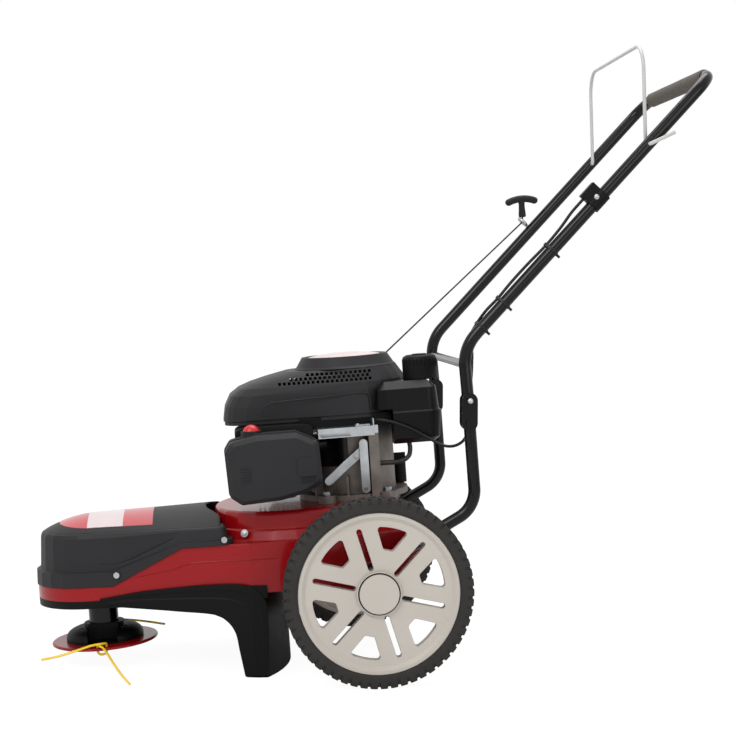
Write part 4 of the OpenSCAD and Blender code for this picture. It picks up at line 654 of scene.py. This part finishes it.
# Trimmer lines: two lengths of yellow nylon line, each threaded down one eyelet of the disc and up the next,
# so that both ends stand out at the rim and droop.
LINE_RADIUS = 0.00195
LINE_ROUTE = [
    (-98, -100, -8), (-70, -108, -3), (-42, -107, 3), (-16, -100, 8), (2, -92, 8), (7.5, -83, 6),
    (7.5, -80, 1), (7.5, -80, -7), (4, -80, -12), (-4, -80, -12), (-7.5, -80, -7), (-7.5, -80, 1),
    (-7.5, -83, 5), (-3, -94, 5), (4, -104, 3), (12, -126, -2), (24, -160, -12), (38, -195, -23),
    (52, -224, -32),
]
LINE_ASIDE = np.array((0.5, 0.2, 1))
nylon = Finish("yellow_nylon")
nylon_paint = nylon.blend(nylon.noise(60), shade(246, 214, 24), shade(236, 188, 14))
nylon.coat(Base_Color=nylon_paint, Roughness=0.32, Coat_Weight=0.3)
for name, turn in (("trimmer_line_near", 1), ("trimmer_line_far", -1)):
    half_turn = (turn, turn, 1)
    route = on_deck(spline(LINE_ROUTE) * half_turn + HEAD)
    grid = tube(route, LINE_RADIUS, deck_way(LINE_ASIDE * half_turn))
    line = skin(f"{name}_cord", grid, nylon.owner, "head")
    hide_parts(name)


# Rims: warm grey polypropylene with a fine grain, moulded in one with their spokes. A cap snaps into each
# hub;
# a thin flat black ring round it is painted shade, standing for the dark gap between cap and rim.
def on_axle(points):
    """Millimetres measured level from the middle of the axle, as metres in the frame."""
    return (np.asarray(points, float) + (0, 0, AXLE_HEIGHT)) / 1000


# The ring round each cap is painted shade: a flat black band in place of the shadowed gap.
HUB_SHADE_RING = [(32.0, -0.4), (34.0, -0.4), (34.0, 0.3), (32.0, 0.3)]
HUB_FACE = 256
rim_grey = Finish("rim_moulding")
rim_grain = rim_grey.noise(1300, 1)
rim_grey.coat(
    Base_Color=rim_grey.blend(rim_grey.noise(11), shade(180, 173, 164), shade(189, 183, 175)),
    Roughness=0.42 + rim_grain * 0.1,
    Specular_IOR_Level=0.3,
    Normal=rim_grey.relief(rim_grain, depth=0.00005, round_edge=0.002),
)
for side, word in SIDES:
    dress(nodes[f"{word}_rim"], rim_grey.owner)
    dress(nodes[f"{word}_hub_cap"], rim_grey.owner)
    place = on_axle((0, side * HUB_FACE, 0))
    turned(f"{word}_hub_shade_ring", HUB_SHADE_RING, place, (0, side, 0), deep_black, f"{word}_wheel", 72,
           ring=True)

# Tyres: solid black rubber, stretched on the rims, in three rows of blocks. The outer rows run over the
# shoulders, half a block out of step with the middle row, and their grooves fade out down the side walls.
WHEEL_Y = 238
TYRE_TOP = 152.4
TYRE_HALF = 21.9
TYRE_WALL = [
    (129.8, 17.6), (131.2, 20.2), (134, TYRE_HALF), (138, TYRE_HALF), (142, 21.8), (144.5, 21.7), (147, 21.2),
    (149.4, 20.4), (151.4, 19.2),
]
TREAD_HALF = 18
TREAD_COLUMNS = 41
BLOCKS = 58
BLOCK_STEPS = 18
ROW_EDGE = 7.3
GROOVE = 4.6
GROOVE_EDGE = 1.0
GROOVE_DEPTH = 4.2
RING_NARROWING = 1.3
FADE_FROM, FADE_OVER = 141, 5
SHOULDER_FROM, SHOULDER_OVER = 17, 5
SHOULDER_LESS = 0.6
SHOULDER_IN = 0.55


def tyre_grid(y_middle):
    """A ring whose section is a list of radius and width. Each point is sunk towards the middle of the
    section by the depth of a groove, which lies between the rows, or across them at every block, and fades
    out below the shoulder."""
    crown = [(TYRE_TOP, w) for w in np.linspace(-TREAD_HALF, TREAD_HALF, TREAD_COLUMNS)]
    r, w = np.array([(r, -w) for r, w in TYRE_WALL] + crown + TYRE_WALL[::-1]).T
    turn = np.linspace(0, 1, BLOCKS * BLOCK_STEPS, endpoint=False)[:, None]
    pitch = 2 * np.pi * TYRE_TOP / BLOCKS
    stagger = np.where(np.abs(w) > ROW_EDGE, 0.0, 0.5)[None, :]
    from_cut = np.abs((turn * BLOCKS + stagger) % 1 - 0.5) * pitch
    from_ring = np.abs(np.abs(w) - ROW_EDGE)[None, :] * RING_NARROWING
    cut = np.clip(((GROOVE + GROOVE_EDGE) / 2 - np.minimum(from_cut, from_ring)) / GROOVE_EDGE, 0, 1)
    fade = np.clip((r - FADE_FROM) / FADE_OVER, 0, 1)[None, :]
    sink = GROOVE_DEPTH * cut * fade
    shoulder = np.clip((np.abs(w) - SHOULDER_FROM) / SHOULDER_OVER, 0, 1)[None, :]
    radius = r[None, :] - sink * (1 - SHOULDER_LESS * shoulder)
    width = w[None, :] * (1 - sink * shoulder * SHOULDER_IN / TYRE_HALF)
    angle = 2 * np.pi * turn
    return np.stack([radius * np.cos(angle), width + y_middle, radius * np.sin(angle)], axis=-1)


tread = Finish("tyre_rubber")
tread_grain = tread.noise(900, 3)
tread.coat(
    Base_Color=tread.blend(tread.noise(18, 4), shade(42, 42, 41), shade(57, 55, 53)),
    Roughness=0.7 + tread_grain * 0.15,
    Specular_IOR_Level=0.15,
    Normal=tread.relief(tread_grain, depth=0.00015, round_edge=0.0008),
)
for side, word in SIDES:
    grid = on_axle(tyre_grid(side * WHEEL_Y))
    tyre = skin(f"{word}_tyre_tread", grid, tread.owner, f"{word}_wheel", ring=True, crease=0.5)
    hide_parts(f"{word}_tyre")

# Brake cable: a black sheathed cable from the engine's bracket, up inside the fold plates and behind the left
# rail, then along the rail's upper side to its clamp.
CABLE_RADIUS = 0.0025
RAIL_FOOT = np.array((142, -200, 388.5))
RAIL_HEAD = np.array((550.6, -200, 834.5))
RAIL_WAY = (RAIL_HEAD - RAIL_FOOT) / np.linalg.norm(RAIL_HEAD - RAIL_FOOT)
RAIL_UP = np.array((-RAIL_WAY[2], 0, RAIL_WAY[0]))
CABLE_ALONG = [
    (22, 2, 13.4), (45, 9.5, 9.5), (70, 13.4, 2), (98, 13, 0), (130, 14.5, 0), (170, 14.5, 0), (214, 13, 0),
    (250, 14.5, 0), (280, 18, 0), (300, 18.5, 0), (325, 18.5, 0),
]
CABLE_ROUTE = [
    (5.2, -121, 266), (12, -127, 267), (22, -132, 266), (40, -134, 262), (66, -135, 252), (92, -140, 238),
    (116, -150, 226), (134, -160, 226), (148, -168, 236), (155, -172, 254), (156, -174, 276),
    (156, -175, 300), (157, -177, 322), (158, -182, 342), (158, -187, 362), (158, -187.5, 382),
    *(RAIL_FOOT + RAIL_WAY * run + RAIL_UP * up + (0, inward, 0) for run, up, inward in CABLE_ALONG),
]
sheath = Finish("cable_sheath")
sheath.coat(
    Base_Color=sheath.blend(sheath.noise(40), shade(11, 11, 12), shade(19, 19, 20)),
    Roughness=0.42,
    Specular_IOR_Level=0.25,
    Normal=sheath.relief(sheath.noise(900), depth=0.00004, round_edge=0.0003),
)
route = on_axle(spline(CABLE_ROUTE))
cable = skin("brake_cable", tube(route, CABLE_RADIUS, (0.1, 1, 0.1)), sheath.owner, None)
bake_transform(cable)
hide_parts("brake_cable_lower", "brake_cable_upper")

# Cable ties: black nylon bands drawn tight round the left rail and the cable beside it, each with its cut
# tail standing out under the rail. A band follows the rail or the cable, whichever reaches further out.
TIES = ((45, np.radians(45)), (98, 0), (214, 0))
TIE_WIDE = 5.0
TIE_THICK = 1.3
TIE_SLACK = 0.05
TIE_ROWS = ((0, -1), (1, -1), (1, 1), (0, 1))
TAIL_LONG = 7.0
TAIL_RADIUS = 2.2
RAIL_RADIUS = 10.0
CABLE_OUT = 13.2
cable_mm = CABLE_RADIUS * 1000
angle = np.linspace(0, 2 * np.pi, 60, endpoint=False)[:, None]
upward = np.sin(angle)
sideways = np.cos(angle)
round_cable = upward * CABLE_OUT + cable_mm > RAIL_RADIUS
hull = np.where(round_cable, upward * cable_mm + CABLE_OUT, upward * RAIL_RADIUS)
spread = np.where(round_cable, sideways * cable_mm, sideways * RAIL_RADIUS)
for i, (run, lean) in enumerate(TIES):
    to_cable = RAIL_UP * np.cos(lean) + np.array((0, np.sin(lean), 0))
    beside = np.cross(RAIL_WAY, to_cable)
    band = []
    for out, shift in TIE_ROWS:
        middle = RAIL_FOOT + RAIL_WAY * (run + shift * TIE_WIDE / 2)
        grow = TIE_SLACK + out * TIE_THICK
        band.append(middle + to_cable * (hull + grow * upward) + beside * (spread + grow * sideways))
    skin(f"cable_tie_{i}", on_axle(np.array(band)), sheath.owner, "handle", ring=True)
    under = RAIL_RADIUS + TAIL_LONG * np.linspace(0, 1, 4)[:, None]
    tail = tube(RAIL_FOOT + RAIL_WAY * run - RAIL_UP * under, TAIL_RADIUS, RAIL_WAY, 10)
    skin(f"tie_tail_{i}", on_axle(tail), sheath.owner, "handle")

# Handle screws: a domed zinc screw holds the cable clamp, and a domed cap covers the head of each pivot bolt
# on the outer fold plates.
DOME_HEAD = [(0.4, 3.4), (2.2, 3.1), (3.8, 2.2), (4.6, 1), (4.7, 0), (4.7, -1.5)]
CLAMP_FACE = (400, -213, 606)
FOLD_HEAD = np.array((151, 218.4, 303.5))
turned("clamp_screw", DOME_HEAD, on_deck(CLAMP_FACE), (0, -1, 0), zinc, "handle")
for side, word in SIDES:
    place = on_axle(FOLD_HEAD * (1, side, 1))
    turned(f"{word}_fold_cap", DOME_HEAD, place, (0, side, 0), zinc, "chassis")

# Starter rope: a thin braided cord, taut from the mouth of the recoil cover to the eye on the right rail,
# with a stub that runs on into the T handle.
ROPE_RADIUS = 0.0015
ROPE_STEPS = 40
ROPE_FROM = np.array((37, 60, 366))
EYE_ALONG = 281
EYE_UP = 22
EYE = RAIL_FOOT * (1, -1, 1) + RAIL_WAY * EYE_ALONG + RAIL_UP * EYE_UP
PULL_WAY = np.array((-0.09, -0.15, 0.98))
PULL = PULL_WAY / np.linalg.norm(PULL_WAY)
STUB_LONG = 28
braid = Finish("braided_cord")
strand = braid.noise(1500, 1, (1, 1, 0.4))
braid.coat(
    Base_Color=braid.blend(strand, shade(16, 16, 17), shade(48, 48, 49)),
    Roughness=0.8,
    Normal=braid.relief(strand, depth=0.0002, round_edge=0.0002),
)
inside = on_axle(EYE + PULL * np.linspace(0, STUB_LONG, 6)[:, None])
stub = skin("starter_rope_stub", tube(inside, ROPE_RADIUS, (1, 0, 0)), braid.owner, None)
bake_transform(stub)
route = on_axle(ROPE_FROM + (EYE - ROPE_FROM) * np.linspace(0, 1, ROPE_STEPS)[:, None])
rope = skin("starter_cord", tube(route, ROPE_RADIUS, (0, 1, 0.2), 8), braid.owner, None)
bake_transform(rope)
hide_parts("starter_rope")

# Starter grip: a moulded black T handle with an arched bar and a waisted stem, which stands on the eye of the
# rope guide. The bar is a circle carried along an arc, with rounded ends.
EYE_RING = 8
EYE_WIRE = 3
SEAT = 0.2
STEM = 34
STEM_RISE = np.array([0, 1, 6, 14, 22, 28, 32])
STEM_RADIUS = np.array([5.6, 6.9, 6.7, 6.0, 5.6, 6.0, 6.3])
BAR_RADIUS = 6.5
ARCH_RADIUS = 62
ARCH_HALF = np.radians(29)
grip_black = Finish("grip_moulding")
grip_grain = grip_black.noise(1400, 1)
grip_black.coat(
    Base_Color=grip_black.blend(grip_black.noise(30), shade(22, 22, 24), shade(30, 30, 32)),
    Roughness=0.45 + grip_grain * 0.1,
    Specular_IOR_Level=0.2,
    Normal=grip_black.relief(grip_grain, depth=0.00006, round_edge=0.0008),
)
grip_foot = EYE + PULL * (EYE_RING * np.linalg.norm(np.cross(PULL, RAIL_WAY)) + EYE_WIRE + SEAT)
side_on = np.cross((1, 0, 0), PULL)
bar_way = np.cross(PULL, side_on / np.linalg.norm(side_on))
arch = np.linspace(-1, 1, 61)[:, None] * ARCH_HALF
rise = STEM - ARCH_RADIUS + ARCH_RADIUS * np.cos(arch)
path = grip_foot + PULL * rise + bar_way * ARCH_RADIUS * np.sin(arch)
rounding = np.clip((np.abs(arch[:, 0]) - ARCH_HALF) * ARCH_RADIUS / BAR_RADIUS + 1, 0, 0.998)
rounding = BAR_RADIUS * np.sqrt(1 - rounding**2)
bar = on_axle(tube(path, rounding, side_on, 24))
bar = skin("starter_bar", bar, grip_black.owner, "starter")
stem = on_axle(tube(grip_foot + PULL * STEM_RISE[:, None], STEM_RADIUS, (1, 0, 0), 24))
skin("starter_stem", stem, grip_black.owner, "starter")
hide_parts("starter_grip")

# Bail: bent steel wire with a white coating, whose ends pivot in the rails. A spring holds it forward of the
# grip.
white_coat = Finish("white_coating")
white_coat.coat(
    Base_Color=white_coat.blend(white_coat.noise(30), shade(178, 178, 176), shade(192, 191, 189)),
    Roughness=0.35,
    Normal=white_coat.relief(white_coat.noise(400), depth=0.00004, round_edge=0.0006),
)
dress(nodes["control_bail"], white_coat.owner)

# Foam grip: a closed-cell foam sleeve pushed on the bar, with soft ends and a slightly uneven surface. It is
# a circle carried along the bar, drawn in at the ends as a quarter circle and rippled by a sine.
GRIP_AT = (550.6, 0, 834.5)
GRIP_HALF = 159.0
GRIP_RADIUS = 12.9
GRIP_SOFT = 3.0
GRIP_DRAW = 0.9
RIPPLE = 0.08
RIPPLE_ALONG = 9
RIPPLE_ROUND = 2
foam = Finish("grip_foam")
cells = foam.noise(700, 4)
foam.coat(
    Base_Color=foam.blend(cells, shade(74, 71, 67), shade(108, 104, 98)),
    Roughness=0.92,
    Specular_IOR_Level=0.2,
    Normal=foam.relief(cells, depth=0.0004, round_edge=0.001),
)
along = np.linspace(-1, 1, 90)[:, None]
around = np.linspace(0, 2 * np.pi, 48, endpoint=False)[None, :]
end = np.clip((np.abs(along) * GRIP_HALF - GRIP_HALF + GRIP_SOFT) / GRIP_SOFT, 0, 0.999)
drawn = GRIP_SOFT * GRIP_DRAW * (1 - np.sqrt(1 - end**2))
radius = GRIP_RADIUS - drawn + RIPPLE * np.sin(RIPPLE_ALONG * along + RIPPLE_ROUND * around)
length = np.broadcast_to(along * GRIP_HALF, radius.shape)
sleeve = np.stack([radius * np.cos(around), length, radius * np.sin(around)], axis=-1)
grip = skin("foam_sleeve", on_axle(sleeve + GRIP_AT), foam.owner, "handle")
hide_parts("foam_grip")
